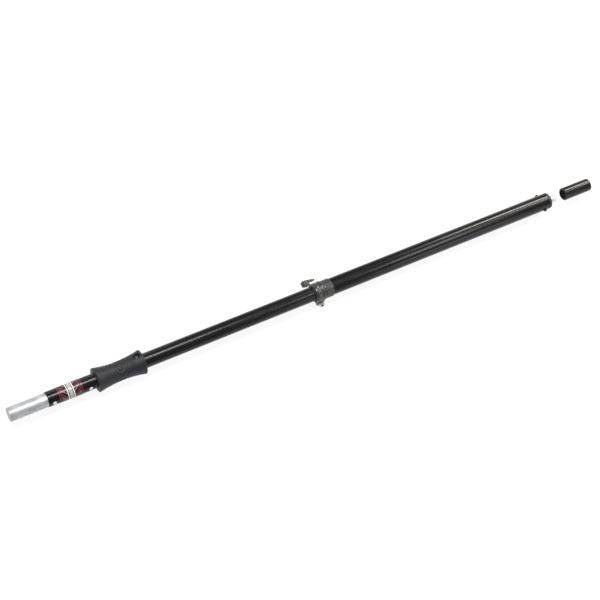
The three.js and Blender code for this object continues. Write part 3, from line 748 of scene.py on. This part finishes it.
def rippled(height, radius, angle):
    """Ripples round two ovals, on the outside only: one on the screw's side and one opposite."""
    outside = radius > core_radius + RIPPLE_SKIN
    station = height - grip_middle
    from_top = np.abs((angle + INNER_TURN) % np.pi - np.pi / 2)
    distance = np.hypot(station, RIPPLE_ROUND_SHARE * radius * from_top)
    wave = RIPPLE_HEIGHT * np.cos(2 * np.pi * (distance - RIPPLE_START) / RIPPLE_PITCH)
    wave *= faded(np.abs(station), RIPPLE_REACH, RIPPLE_FADE)
    oval = OVAL_HEIGHT * faded(distance, RIPPLE_START - RIPPLE_PITCH, RIPPLE_PITCH / 3)
    relief = np.where(distance > RIPPLE_START - RIPPLE_PITCH / 2, wave, oval - OVAL_HEIGHT / 2)
    return height, radius + np.where(outside, relief, 0)


# %% The grip, its core and its screw
POCKET_RADIUS, POCKET_OVERRUN = 8.5, 5.0
COVER_GAP, CORE_GAP = 0.2, 0.1  # between cover and core, and between core and tube
GRIP_END_SOFTNESS, SOFT_POINTS = 1.4, 5  # a softened corner has this many points
grip_reach = (grip_end - grip_start) / 2
side_reach = grip_reach - GRIP_BEVEL_LENGTH
side = np.linspace(-side_reach, side_reach, int(2 * side_reach / GRIP_CELL))
side_radius = GRIP_WAIST + (GRIP_RIM - GRIP_WAIST) * (side / side_reach) ** 2
grip_bore = core_radius + COVER_GAP
grip_rims = softened(
    [
        (grip_middle - side_reach, GRIP_RIM),
        (grip_start, GRIP_RIM - GRIP_BEVEL_DEPTH),
        (grip_start, grip_bore),
        (grip_end, grip_bore),
        (grip_end, GRIP_RIM - GRIP_BEVEL_DEPTH),
        (grip_middle + side_reach, GRIP_RIM),
    ],
    GRIP_END_SOFTNESS,
)[SOFT_POINTS:-SOFT_POINTS]
grip_outline = np.vstack((np.column_stack((grip_middle + side, side_radius)), grip_rims[::-1]))
grip = surface("grip_cover_moulded", *spun(grip_outline, sides=GRIP_SIDES, shape=rippled))
pocket = cross_rod(grip_screw_station, INNER_UP, POCKET_RADIUS, core_radius / 2, GRIP_RIM + POCKET_OVERRUN)
dress(combine(grip, [pocket], "DIFFERENCE"), "grip_cover", GRIP_RUBBER)

core_bore = INNER_RADIUS + CORE_GAP
core = surface("grip_core_moulded", *spun(ring(grip_start, grip_end, core_bore, core_radius)))
core_reach = core_radius + OVERRUN
core_hole = cross_rod(grip_screw_station, INNER_UP, SCREW_HOLE_RADIUS, core_bore / 2, core_reach)
dress(combine(core, [core_hole], "DIFFERENCE"), "grip_core", NYLON_BLACK)


def hexagon(angle):
    """How far a hexagon with flats at distance 1 reaches in each direction: 1 / cos(a), where a is the
    angle from the nearest flat's middle."""
    return 1 / np.cos((angle + np.pi / 6) % (np.pi / 3) - np.pi / 6)


def socketed(hole):
    """A shape that turns the round hole of a radius into a hexagon whose flats are at that radius."""

    def shape(height, radius, angle):
        return height, np.where(radius <= hole + MERGE, radius * hexagon(angle), radius)

    return shape


GRIP_SCREW = dict(head=5.6, rise=3.9, shank=1.9, depth=5.9, hole=1.8, hole_depth=2.0, dip=0)
TAIL_SCREW = dict(head=4.7, rise=4.2, shank=2.4, depth=9.2, hole=1.8, hole_depth=2.4, dip=0)
BUTTON_SIDES = 72
BUTTON_DOME = [(0.45, 1.0), (0.9, 0.78), (1.0, 0.55)]
BUTTON_SOFTNESS = np.array((0, 0.5, 0.2, 0.3, 1.2, 0.8, 0.4, 0.1, 0, 0))  # one for each corner


def button_screw(node, direction, seat, size, coat):
    """A screw with a domed head and a hexagon socket, seated at a radius from the pole's centre."""
    outline = softened(headed(seat, size, BUTTON_DOME), BUTTON_SOFTNESS, steps=6)
    about = spindle(CENTRE + middle(node)[0] * along, direction)
    made = surface(node + "_driven", *spun(outline, about, BUTTON_SIDES, socketed(size["hole"])))
    return dress(made, node, coat)


button_screw("grip_screw", INNER_UP, core_radius + SEAT_GAP, GRIP_SCREW, GRIP_SCREW_STEEL)
print("the grip has", len(grip.data.polygons), "faces")

# %% [markdown]
# ## Clamp collar
#
# The collar is one casting: a round nose, a shallow neck, a flared band, a skirt over the outer tube, and
# two ears under it that the screw pulls together. Castings have no sharp edge or corner, because metal
# doesn't fill one. Bevels on a join of a ring and a block are hard to get right, so the collar is
# joined and cut from plain closed forms, remeshed into small cells, and smoothed. Each pass of smoothing
# melts the edges a little more, which leaves the soft fillets of a casting.

# %% The collar's ring and ears
collar_start, collar_end = ends("clamp_collar")
EAR_HALF_SPAN, EAR_HALF_WIDTH, EAR_EDGE, EAR_SETBACK = 22.0, 11.0, 1.6, 0.9
RING_LENGTH, SEAT_LENGTH = 29.8, 29.2  # of the split ring, and of the skirt's seat on the outer tube
COLLAR_RING_END = collar_start + RING_LENGTH
SEAT_STATION = collar_end - SEAT_LENGTH
SEAT_CLEARANCE = 0.15
screw_middle = middle("clamp_screw")
screw_centre = np.array((screw_middle[0], CENTRE[1], screw_middle[2]))
SLIT_WIDTH, CLAMP_HOLE_RADIUS, EAR_DRILL_REACH = 4.0, 4.2, 24.0
COLLAR_SIDES, CAST_CELL, CAST_PASSES = 160, 0.5, 20
RING_ROOT, SKIRT_RADIUS, SKIRT_RIM, COLLAR_RIVET_SEAT = 23.3, 24.2, 23.8, 24.3
# The outside of nose, neck and band, as pairs of distance from the nose's end and radius
COLLAR_PROFILE = np.array(
    [
        *[(0.0, 22.8), (1.4, 24.5), (3.4, 25.5), (6.3, 26.0), (10.5, 25.7), (14.0, 24.9)],
        *[(18.0, 25.1), (22.4, 26.0), (25.2, 26.0), (26.6, 25.0), (27.6, 23.4)],
    ]
)
collar_outline = np.vstack(
    (
        [(collar_start, 0)],
        COLLAR_PROFILE + (collar_start, 0),
        [(COLLAR_RING_END - 0.6, RING_ROOT), (COLLAR_RING_END + 0.8, SKIRT_RADIUS)],
        [(collar_end - 0.4, SKIRT_RADIUS), (collar_end, SKIRT_RIM), (collar_end, 0)],
    )
)
casting = surface("clamp_collar_cast", *spun(softened(collar_outline, 1.0), sides=COLLAR_SIDES))


def slab(outline, low, high, edge, about):
    """Extrudes a convex outline, with its edges rounded: near an end it is drawn in along its own
    normals by edge - sqrt(edge^2 - depth^2)."""
    origin, axis, first, second = about
    outline = np.asarray(outline, float)
    side = np.roll(outline, -1, axis=0) - np.roll(outline, 1, axis=0)
    normal = np.column_stack((side[:, 1], -side[:, 0])) / np.linalg.norm(side, axis=1)[:, None]
    turn = np.linspace(0, np.pi / 2, 6)
    depth = np.concatenate((low + edge * (1 - np.sin(turn[::-1])), high - edge * (1 - np.sin(turn))))
    drawn_in = edge * (1 - np.cos(np.concatenate((turn[::-1], turn))))
    rows = outline[None] - drawn_in[:, None, None] * normal[None]
    caps = np.mean(outline, axis=0) + 0 * outline
    rows = np.concatenate((caps[None], rows, caps[None]))
    depth = np.concatenate(([low], depth, [high]))
    points = origin + depth[:, None, None] * axis + rows[..., :1] * first + rows[..., 1:] * second
    return points.reshape(-1, 3), grid_faces(len(rows), len(outline), False)


EAR_ROOT, EAR_TAPER = 8.0, 2.0  # the ears start to narrow this far under the centre line, by this much
ear_turn = np.linspace(np.pi, 2 * np.pi, 25)
ear_round = screw_centre[2] + EAR_HALF_WIDTH * np.sin(ear_turn)
ear_shoulder = EAR_HALF_WIDTH - EAR_TAPER
ear_outline = np.vstack(
    (
        np.column_stack((EAR_HALF_WIDTH * np.cos(ear_turn), ear_round - CENTRE[2])),
        [(EAR_HALF_WIDTH, -EAR_ROOT), (ear_shoulder, 0.0)],
        [(-ear_shoulder, 0.0), (-EAR_HALF_WIDTH, -EAR_ROOT)],
    )
)
ear_station = COLLAR_RING_END - EAR_SETBACK - EAR_HALF_WIDTH
across_pole = (
    CENTRE + ear_station * along,
    np.array(TO_KNOB),
    np.array((1.0, 0.0, 0.0)),
    np.array(UPWARDS),
)
ears = surface("ears", *slab(ear_outline, -EAR_HALF_SPAN, EAR_HALF_SPAN, EAR_EDGE, across_pole))

# %% Join, cut and melt the casting
BOX_FACES = np.array(
    [(0, 1, 3, 2), (4, 6, 7, 5), (0, 4, 5, 1), (2, 3, 7, 6), (0, 2, 6, 4), (1, 5, 7, 3)]
)


def block(low, high):
    """A plain cutter between two corners."""
    pick = np.array([(i, j, k) for i in (0, 1) for j in (0, 1) for k in (0, 1)])
    return surface("cutter", np.where(pick == 1, high, low), BOX_FACES)


SCREW_SIDES = 48


def clamp_hole(start, end):
    """A round cutter along the clamp's screw."""
    about = spindle(screw_centre, TO_KNOB)
    return surface("cutter", *spun(rod(start, end, CLAMP_HOLE_RADIUS), about, SCREW_SIDES))


outer_bore = OUTER_RADIUS - OUTER_WALL
bore_outline = rod(collar_start - OVERRUN, collar_end + OVERRUN, outer_bore)
bore = surface("cutter", *spun(bore_outline, sides=COLLAR_SIDES))
seat_outline = rod(SEAT_STATION, collar_end + OVERRUN, OUTER_RADIUS + SEAT_CLEARANCE)
seat = surface("cutter", *spun(seat_outline, sides=COLLAR_SIDES))
slit = block(
    np.array((collar_start - OVERRUN, CENTRE[1] - SLIT_WIDTH / 2, -OVERRUN)),
    np.array((COLLAR_RING_END, CENTRE[1] + SLIT_WIDTH / 2, CENTRE[2])),
)
combine(casting, [ears], "UNION")
ear_hole = clamp_hole(-EAR_DRILL_REACH, EAR_DRILL_REACH)
combine(casting, [bore, seat, slit, ear_hole], "DIFFERENCE")


def melted(piece, cell, passes):
    """Remeshes a closed piece into cells and smooths it."""
    cells = piece.modifiers.new("cells", "REMESH")
    cells.mode = "VOXEL"
    cells.voxel_size = cell * MM
    smooth = piece.modifiers.new("smooth", "SMOOTH")
    smooth.factor = 0.5
    smooth.iterations = passes
    settle(piece)
    piece.data.shade_smooth()
    return piece


def gathered(piece, others):
    """Puts closed meshes that overlap into one, for melting."""
    whole = bmesh.new()
    for part in (piece, *others):
        whole.from_mesh(part.data)
    whole.to_mesh(piece.data)
    whole.free()
    for other in others:
        bpy.data.objects.remove(other)
    return piece


dress(melted(casting, CAST_CELL, CAST_PASSES), "clamp_collar", PAINT)
blind_rivet("collar_rivet", DOWNWARDS, COLLAR_RIVET_SEAT)
print("the casting has", len(casting.data.polygons), "faces")

# %% [markdown]
# ## Bush
#
# A black nylon bush lines the clamp. Only its lip shows, as a dark ring between the collar and the
# inner tube. It is split along its underside, so that the collar can squeeze it on to the tube.

# %% The bush
bush_start, bush_end = ends("clamp_bush")
BUSH_LIP, BUSH_LIP_RADIUS, BUSH_SLOT, BUSH_SLOT_LENGTH = 2.5, 21.3, 3.0, 42.0
bush_bore = INNER_RADIUS + CLEARANCE
bush_radius = outer_bore - CLEARANCE
bush_softness = np.array((0.5, 0.9, 0.3, 0.2, 0.4, 0.4))
bush_outline = [
    (bush_start, bush_bore),
    (bush_start, BUSH_LIP_RADIUS),
    (bush_start + BUSH_LIP, BUSH_LIP_RADIUS),
    (bush_start + BUSH_LIP, bush_radius),
    (bush_end, bush_radius),
    (bush_end, bush_bore),
]
bush = surface("clamp_bush_moulded", *spun(softened(bush_outline, bush_softness)))
slot = block(
    np.array((bush_start - OVERRUN, CENTRE[1] - BUSH_SLOT / 2, CENTRE[2] - BUSH_LIP_RADIUS - OVERRUN)),
    np.array((bush_start + BUSH_SLOT_LENGTH, CENTRE[1] + BUSH_SLOT / 2, CENTRE[2])),
)
dress(combine(bush, [slot], "DIFFERENCE"), "clamp_bush", NYLON_BLACK)

# %% [markdown]
# ## Screw, nut and washer
#
# A thread is one groove wound round a rod. On the grid it needs no modelling at all: the radius at
# height h and angle a is r - depth * wave(h / pitch - a / full turn), and the wave is a triangle with
# its peaks cut flat. It fades in over the first turn. A nut is a turned blank with chamfers, and the
# hexagon takes away whatever stands beyond its flats, which leaves the curved shoulders of a real nut.

# %% Threads and hexagons
THREAD_ROWS = 8  # rows of points in one turn
GROOVE_STEEPNESS, GROOVE_FLAT = 1.3, 0.15  # of the wave's sides, and how much of its foot is flat


def threaded(pitch, depth, low, high, grows=-1):
    """A shape that winds a groove between two heights. It cuts into a rod, or out into a bore."""

    def shape(height, radius, angle):
        turns = (height / pitch - angle / (2 * np.pi)) % 1
        wave = np.clip(GROOVE_STEEPNESS * np.abs(2 * turns - 1) - GROOVE_FLAT, 0, 1)
        window = np.clip(np.minimum(height - low, high - height) / pitch, 0, 1)
        return height, radius + grows * depth * wave * window

    return shape


def thread_stations(low, high, pitch, radius):
    """Points of one radius between two heights, close enough to carry a thread."""
    heights = np.arange(low, high, pitch / THREAD_ROWS)
    return np.column_stack((heights, np.full(len(heights), radius)))


def hexed(across_flats):
    """A shape that cuts a turned blank down to six flats."""

    def shape(height, radius, angle):
        return height, np.minimum(radius, across_flats / 2 * hexagon(angle))

    return shape


def dense(outline, step):
    """The same outline with points no further apart than a step, so that a curved cut shows."""
    outline = np.asarray(outline, float)
    rows = []
    for start, end in zip(outline, np.roll(outline, -1, axis=0)):
        count = max(1, int(np.linalg.norm(end - start) / step))
        rows.append(start + (end - start) * np.arange(count)[:, None] / count)
    return np.vstack(rows)


# %% Clamp screw, nut, washer and spacer
about_clamp = spindle(screw_centre, TO_KNOB)
SCREW_RADIUS, SCREW_PITCH, SCREW_DEPTH, SCREW_CHAMFER = 4.0, 1.25, 0.7, 0.6
THREAD_STOP = 4.0  # how far inside the ear's face the thread ends
screw_start, screw_end = ends("clamp_screw", 1)
thread_end = EAR_HALF_SPAN - THREAD_STOP
screw_rows = thread_stations(screw_start + SCREW_CHAMFER, thread_end, SCREW_PITCH, SCREW_RADIUS)
screw_outline = np.vstack(
    (
        [(screw_start, 0), (screw_start, SCREW_RADIUS - SCREW_CHAMFER)],
        screw_rows,
        [(thread_end, SCREW_RADIUS), (screw_end, SCREW_RADIUS), (screw_end, 0)],
    )
)
screw_thread = threaded(SCREW_PITCH, SCREW_DEPTH, screw_start, thread_end)
clamp_screw = surface("clamp_screw_cut", *spun(screw_outline, about_clamp, SCREW_SIDES, screw_thread))
dress(clamp_screw, "clamp_screw", BLACK_STEEL)

NUT_FLATS, NUT_BORE, NUT_CHAMFER, NUT_BORE_CHAMFER = 13.0, 4.3, 0.7, 0.4
NUT_FACE = NUT_FLATS / 2 * 0.96  # the radius of the round face that the chamfer leaves
nut_corner = NUT_FLATS / 2 * float(hexagon(np.pi / 6))
nut_start, nut_end = ends("clamp_nut", 1)
nut_outline = [
    (nut_start, NUT_BORE + NUT_BORE_CHAMFER),
    (nut_start, NUT_FACE),
    (nut_start + NUT_CHAMFER, nut_corner),
    (nut_end - NUT_CHAMFER, nut_corner),
    (nut_end, NUT_FACE),
    (nut_end, NUT_BORE + NUT_BORE_CHAMFER),
    (nut_end - NUT_BORE_CHAMFER, NUT_BORE),
    (nut_start + NUT_BORE_CHAMFER, NUT_BORE),
]
nut_rows = dense(nut_outline, step=0.15)
nut = surface("clamp_nut_pressed", *spun(nut_rows, about_clamp, FINE_SIDES, hexed(NUT_FLATS)))
dress(nut, "clamp_nut", BRIGHT)

washer_outline = ring(*ends("clamp_washer", 1), NUT_BORE, half_width("clamp_washer", 0), edge=0.35)
washer = surface("clamp_washer_pressed", *spun(washer_outline, about_clamp, FINE_SIDES))
dress(washer, "clamp_washer", BRIGHT)

spacer_start, spacer_end = ends("knob_spacer", 1)
SPACER_RADIUS, SPACER_GROOVE = 5.95, 5.2
groove_start, groove_end = spacer_end - 2.2, spacer_end - 1.4
spacer_outline = [
    (spacer_start, NUT_BORE),
    (spacer_start, SPACER_RADIUS),
    (groove_start, SPACER_RADIUS),
    (groove_start, SPACER_GROOVE),
    (groove_end, SPACER_GROOVE),
    (groove_end, SPACER_RADIUS),
    (spacer_end, SPACER_RADIUS),
    (spacer_end, NUT_BORE),
]
spacer = surface("knob_spacer_turned", *spun(softened(spacer_outline, 0.4), about_clamp, FINE_SIDES))
dress(spacer, "knob_spacer", BRIGHT)
print("the thread has", len(screw_rows), "rows")

# %% [markdown]
# ## T-knob
#
# The knob has a thick wing for the thumb on one side of the screw and a thin tongue on the other, both
# flush with its back. A mould-maker would think of it as blocks that run into each other, and it is
# built that way: each block is an outline seen from above, with its corners softened, extruded across the
# screw. The blocks only have to overlap, because melting turns them into one body with soft edges.

# %% The knob
KNOB_TURN = math.radians(20)
KNOB_MIDDLE_DEPTH, HUB_RADIUS, HUB_LENGTH = 6.9, 6.5, 1.8
WING_REACH, WING_DEPTH, WING_THICK, WING_SLOPE = 25.0, 15.2, 12.9, 2.0
STUB_REACH, STUB_OVERLAP, STUB_INSET, BACK_SLOPE = 9.0, 4.0, 0.2, 1.0
TONGUE_REACH, TONGUE_DEPTH, TONGUE_THICK = 19.0, 3.4, 7.9
KNOB_CORNER, KNOB_EDGE, KNOB_INSET, WING_GAP = 1.6, 1.3, 0.05, 0.3
KNOB_CELL, KNOB_PASSES, HUB_SIDES, HUB_EDGE = 0.4, 4, 64, 0.4
knob_back = ends("knob_handle", 1)[1] - KNOB_INSET
knob_front = knob_back - KNOB_MIDDLE_DEPTH
wing_front = knob_back - WING_DEPTH
wing_edge = -HUB_RADIUS - WING_GAP
_, to_knob, along_knob, across_knob = spindle(screw_centre, TO_KNOB, KNOB_TURN)


def knob_block(name, outline, thickness):
    """A block of the knob from its outline of (along, out of the pole) pairs."""
    about = (screw_centre, across_knob, along_knob, to_knob)
    corners = softened(outline, KNOB_CORNER)
    return surface(name, *slab(corners, -thickness / 2, thickness / 2, KNOB_EDGE, about))


wing = [
    (-WING_REACH, wing_front),
    (wing_edge - WING_SLOPE, wing_front),
    (wing_edge, wing_front + WING_SLOPE),
    (wing_edge, knob_back),
    (-WING_REACH, knob_back - BACK_SLOPE),
]
stub = [
    (wing_edge - STUB_OVERLAP, knob_front),
    (STUB_REACH, knob_front),
    (STUB_REACH, knob_back),
    (wing_edge - STUB_OVERLAP, knob_back - STUB_INSET),
]
tongue = [
    (0.0, knob_back - TONGUE_DEPTH),
    (TONGUE_REACH, knob_back - TONGUE_DEPTH),
    (TONGUE_REACH, knob_back),
    (0.0, knob_back),
]
handle = knob_block("knob_handle_moulded", wing, WING_THICK)
hub_outline = rod(knob_front - HUB_LENGTH, knob_front + KNOB_MIDDLE_DEPTH / 2, HUB_RADIUS, HUB_EDGE)
bored = [
    knob_block("stub", stub, WING_THICK - 2 * STUB_INSET),
    knob_block("tongue", tongue, TONGUE_THICK),
    surface("hub", *spun(hub_outline, about_clamp, HUB_SIDES)),
]
for part in bored:
    combine(part, [clamp_hole(knob_front - HUB_LENGTH - OVERRUN, screw_end + CLEARANCE)], "DIFFERENCE")
dress(melted(gathered(handle, bored), KNOB_CELL, KNOB_PASSES), "knob_handle", KNOB_BLACK)
print("the knob has", len(handle.data.polygons), "faces")

# %% [markdown]
# ## Tail
#
# A nylon plug closes the outer tube. Its flange has a rounded rim, and a thin dark line shows where it
# meets the tube. Two socket screws hold it, and a bright M20 screw comes through it. The thread is the
# same groove as before, at a pitch of 2.5 mm, with the hexagon head kept inside the tube.

# %% Plug and tail screws
plug_start, plug_end = ends("tail_plug")
PLUG_FLANGE, PLUG_ROUND, MOUNT_RADIUS = 8.0, 2.6, 10.0
plug_body = outer_bore - CLEARANCE
flange_radius = half_width("tail_plug")
mount_bore = MOUNT_RADIUS + CLEARANCE
seal_start, seal_end = ends("tail_seal")
seal_floor = plug_body - (seal_end - seal_start) - CLEARANCE
seal_groove = (seal_start - CLEARANCE, seal_end + CLEARANCE)
plug_outline = [
    (plug_start, mount_bore),
    (plug_start, plug_body),
    (seal_groove[0], plug_body),
    (seal_groove[0], seal_floor),
    (seal_groove[1], seal_floor),
    (seal_groove[1], plug_body),
    (plug_end - PLUG_FLANGE, plug_body),
    (plug_end - PLUG_FLANGE, flange_radius),
    (plug_end, flange_radius),
    (plug_end, mount_bore),
]
plug_softness = np.array((0.4, 0.8, 0.2, 0.2, 0.2, 0.2, 0.1, 0.35, PLUG_ROUND, 0.6))
plug = surface("tail_plug_moulded", *spun(softened(plug_outline, plug_softness, 8)))
HOLE_BOTTOM_GAP = 0.4
plug_hole_floor = OUTER_RADIUS + SEAT_GAP - TAIL_SCREW["depth"] - HOLE_BOTTOM_GAP
plug_holes = [
    cross_rod(tail_screw_station, direction, HOLE_RADIUS, plug_hole_floor, OUTER_RADIUS)
    for direction in (TO_KNOB, FROM_KNOB)
]
dress(combine(plug, plug_holes, "DIFFERENCE"), "tail_plug", NYLON_BLACK)
button_screw("tail_screw_far", TO_KNOB, OUTER_RADIUS + SEAT_GAP, TAIL_SCREW, BLACK_STEEL)
button_screw("tail_screw_near", FROM_KNOB, OUTER_RADIUS + SEAT_GAP, TAIL_SCREW, BLACK_STEEL)

# %% M20 screw and its washer
mount_start, mount_end = ends("mount_screw")
MOUNT_PITCH, MOUNT_DEPTH, MOUNT_FLATS, MOUNT_HEAD, MOUNT_CHAMFER = 2.5, 1.5, 30.0, 12.5, 1.7
HEAD_CHAMFER, PLAIN_SHANK = 1.3, 6.0
HEAD_FACE = MOUNT_FLATS / 2 * 0.95
head_end = mount_start + MOUNT_HEAD
mount_corner = MOUNT_FLATS / 2 * float(hexagon(np.pi / 6))
head_rows = dense(
    [
        (mount_start, 0),
        (mount_start, HEAD_FACE),
        (mount_start + HEAD_CHAMFER, mount_corner),
        (head_end, mount_corner),
        (head_end, MOUNT_RADIUS),
    ],
    step=0.6,
)
on_shank = (head_rows[:, 0] >= head_end) & (head_rows[:, 1] <= MOUNT_RADIUS)
head_rows = head_rows[: np.argmax(on_shank) + 1]
thread_low, thread_high = head_end + PLAIN_SHANK, mount_end + MOUNT_PITCH
mount_rows = thread_stations(thread_low, mount_end - MOUNT_CHAMFER, MOUNT_PITCH, MOUNT_RADIUS)
mount_outline = np.vstack(
    (
        head_rows,
        mount_rows,
        [
            (mount_end - MOUNT_CHAMFER, MOUNT_RADIUS),
            (mount_end, MOUNT_RADIUS - MOUNT_CHAMFER),
            (mount_end, 0),
        ],
    )
)


def mount_shape(height, radius, angle):
    """The hexagon on the head, the groove on the shank, and neither on the chamfer's end."""
    _, flat = hexed(MOUNT_FLATS)(height, radius, angle)
    _, grooved = threaded(MOUNT_PITCH, MOUNT_DEPTH, thread_low, thread_high)(height, radius, angle)
    floor = MOUNT_RADIUS - MOUNT_DEPTH
    grooved = np.where(radius > floor, np.maximum(grooved, floor), radius)
    return height, np.where(height > head_end, np.minimum(grooved, radius), flat)


mount_screw = surface("mount_screw_cut", *spun(mount_outline, POLE, FINE_SIDES, mount_shape))
dress(mount_screw, "mount_screw", BRIGHT)

inner_washer = ring(*ends("mount_washer"), mount_bore, half_width("mount_washer"), edge=0.5)
mount_washer = surface("mount_washer_pressed", *spun(inner_washer))
dress(mount_washer, "mount_washer", BRIGHT)
print("the M20 screw has", len(mount_rows) // THREAD_ROWS, "turns of thread")

# %% [markdown]
# ## Adapter sleeve
#
# The sleeve screws on to the tail and turns it into a plain spigot. It is a turned tube with a chamfered
# mouth, a rounded far end, and a threaded steel insert set back inside it. Its thread is the same
# formula with the groove wound outwards into the wall, so the hole stays clear for the screw.

# %% Sleeve and insert
sleeve_start, sleeve_end = ends("adapter_sleeve")
insert_start, insert_end = ends("adapter_insert")
SLEEVE_BORE, MOUTH_CHAMFER, SLEEVE_ROUND = 12.3, 1.2, 3.2
sleeve_outline = [
    (sleeve_start + MOUTH_CHAMFER, SLEEVE_BORE),
    (sleeve_start, SLEEVE_BORE + MOUTH_CHAMFER),
    (sleeve_start, SPIGOT_RADIUS - MOUTH_CHAMFER),
    (sleeve_start + MOUTH_CHAMFER, SPIGOT_RADIUS),
    (sleeve_end, SPIGOT_RADIUS),
    (sleeve_end, SLEEVE_BORE),
]
sleeve_softness = np.array((0.3, 0.3, 0.3, 0.4, SLEEVE_ROUND, 0.5))
sleeve = surface("adapter_sleeve_turned", *spun(softened(sleeve_outline, sleeve_softness, 8)))
dress(sleeve, "adapter_sleeve", SLEEVE_BLACK)

INSERT_GROOVE, INSERT_CHAMFER, INSERT_GAP = 1.1, 0.5, 0.1
insert_radius = SLEEVE_BORE - INSERT_GAP
first_row, last_row = insert_start + INSERT_CHAMFER, insert_end - INSERT_CHAMFER
insert_outline = np.vstack(
    (
        [(insert_start, mount_bore + INSERT_CHAMFER)],
        thread_stations(first_row, last_row, MOUNT_PITCH, mount_bore),
        [(last_row, mount_bore), (insert_end, mount_bore + INSERT_CHAMFER)],
        [(insert_end, insert_radius), (insert_start, insert_radius)],
    )
)
insert_thread = threaded(MOUNT_PITCH, INSERT_GROOVE, insert_start, insert_end, grows=1)


def insert_shape(height, radius, angle):
    """The groove is wound only where the outline is the bore itself."""
    _, grooved = insert_thread(height, radius, angle)
    return height, np.where(radius <= mount_bore + MERGE, grooved, radius)


insert = surface("adapter_insert_tapped", *spun(insert_outline, POLE, FINE_SIDES, insert_shape))
dress(insert, "adapter_insert", INSERT_STEEL)
print("the sleeve is", round(sleeve_end - sleeve_start, 1), "mm long")

# %% [markdown]
# ## Pieces inside the tubes
#
# The piston, its pin, rings and seals, and the stop tube can't be seen from outside. Their solids are
# good as they are, so each keeps its own mesh and only gets the finish of its material.

# %% Finishes for the hidden nodes
HIDDEN = {
    "piston": NYLON_BLACK,
    "piston_pin": BRIGHT,
    "guide_ring": NYLON_CREAM,
    "piston_seal": SEAL_RUBBER,
    "stop_tube": NYLON_CREAM,
    "tail_seal": SEAL_RUBBER,
}
for node, coat in HIDDEN.items():
    nodes[node].data.materials.clear()
    nodes[node].data.materials.append(coat)
print(len(HIDDEN), "nodes keep their own mesh")

# %% [markdown]
# ## Floor and light
#
# The photograph has a white ground. The floor is a matt white plane that also glows a little for the
# camera and for mirrored rays, so that it stays white and still keeps the pole's shadow. The world does
# the same beyond the floor. Six large soft lamps stand above and beside the pole, as in a product studio,
# and their mirror images are the pale lines that run along the tubes.

# %% Floor
FLOOR_HALF, FLOOR_DROP = 12000.0, 0.3


def seen_directly(tree):
    """1 for camera, glossy and transmission rays, and 0 for the rest."""
    path = add(tree, "ShaderNodeLightPath")
    seen = path.outputs["Is Camera Ray"]
    for kind in ("Is Glossy Ray", "Is Transmission Ray"):
        seen = add(tree, "ShaderNodeMath", {0: seen, 1: path.outputs[kind]}, operation="MAXIMUM").outputs[0]
    return seen


def white_floor():
    """Matt white for the lamps' light, and a little brighter where it is seen directly."""
    material = bpy.data.materials.new("white floor")
    material.use_nodes = True
    tree = material.node_tree
    tree.nodes.clear()
    matt = add(tree, "ShaderNodeBsdfDiffuse", {"Color": linear("#e6e6e6")})
    half = add(tree, "ShaderNodeBsdfDiffuse", {"Color": linear("#606060")})
    glow = add(tree, "ShaderNodeEmission", {"Color": linear("#ffffff"), "Strength": 0.9})
    lifted = add(tree, "ShaderNodeAddShader", {0: half.outputs[0], 1: glow.outputs[0]})
    inputs = {0: seen_directly(tree), 1: matt.outputs[0], 2: lifted.outputs[0]}
    mixed = add(tree, "ShaderNodeMixShader", inputs)
    add(tree, "ShaderNodeOutputMaterial", {"Surface": mixed.outputs[0]})
    return material


corners = np.array([(x, y, -FLOOR_DROP) for x, y in ((-1, -1), (1, -1), (1, 1), (-1, 1))])
corners[:, :2] *= FLOOR_HALF
floor = surface("floor", corners, np.array([(0, 1, 2, 3)]))
floor.data.materials.append(white_floor())

# %% World and lamps
world = bpy.data.worlds.new("studio")
bpy.context.scene.world = world
world.use_nodes = True
world.node_tree.nodes.clear()
room = add(world.node_tree, "ShaderNodeBackground", {"Color": linear("#e8ebef"), "Strength": 0.32})
backdrop = add(world.node_tree, "ShaderNodeBackground", {"Color": linear("#ffffff"), "Strength": 1.0})
path = add(world.node_tree, "ShaderNodeLightPath")
inputs = {0: path.outputs["Is Camera Ray"], 1: room.outputs[0], 2: backdrop.outputs[0]}
mixed = add(world.node_tree, "ShaderNodeMixShader", inputs)
add(world.node_tree, "ShaderNodeOutputWorld", {"Surface": mixed.outputs[0]})


def soft_lamp(name, place, target, size, power, colour="#ffffff"):
    """A rectangular lamp at a place, facing a target, both in millimetres. The first of its two sizes
    lies along the pole as far as it can."""
    data = bpy.data.lights.new(name, "AREA")
    data.shape = "RECTANGLE"
    data.size, data.size_y = size[0] * MM, size[1] * MM
    data.energy = power
    data.color = linear(colour)[:3]
    lamp = bpy.data.objects.new(name, data)
    bpy.context.scene.collection.objects.link(lamp)
    away = np.asarray(place, float) - np.asarray(target, float)
    away /= np.linalg.norm(away)
    across = np.cross(away, along)
    across /= np.linalg.norm(across)
    axes = np.column_stack((np.cross(across, away), across, away))
    lamp.matrix_world = Matrix.Translation(Vector(np.asarray(place) * MM)) @ Matrix(axes.tolist()).to_4x4()
    return lamp


soft_lamp("left strip", (-620, 250, 2200), (-600, 0, 0), (1900, 340), 56)
soft_lamp("left back", (-600, 2500, 900), (-500, 0, 0), (1700, 1200), 9)
soft_lamp("middle panel", (1440, -800, 2200), (300, 0, 0), (640, 900), 15)
soft_lamp("middle side", (1750, -2500, 700), (500, 0, 0), (1100, 1300), 10)
soft_lamp("right strip", (2480, 1500, 2150), (650, 0, 0), (1300, 380), 64, "#fff4ea")
soft_lamp("end strip", (2650, 250, 2200), (850, 0, 0), (800, 420), 24, "#fff6ee")
print("six lamps")
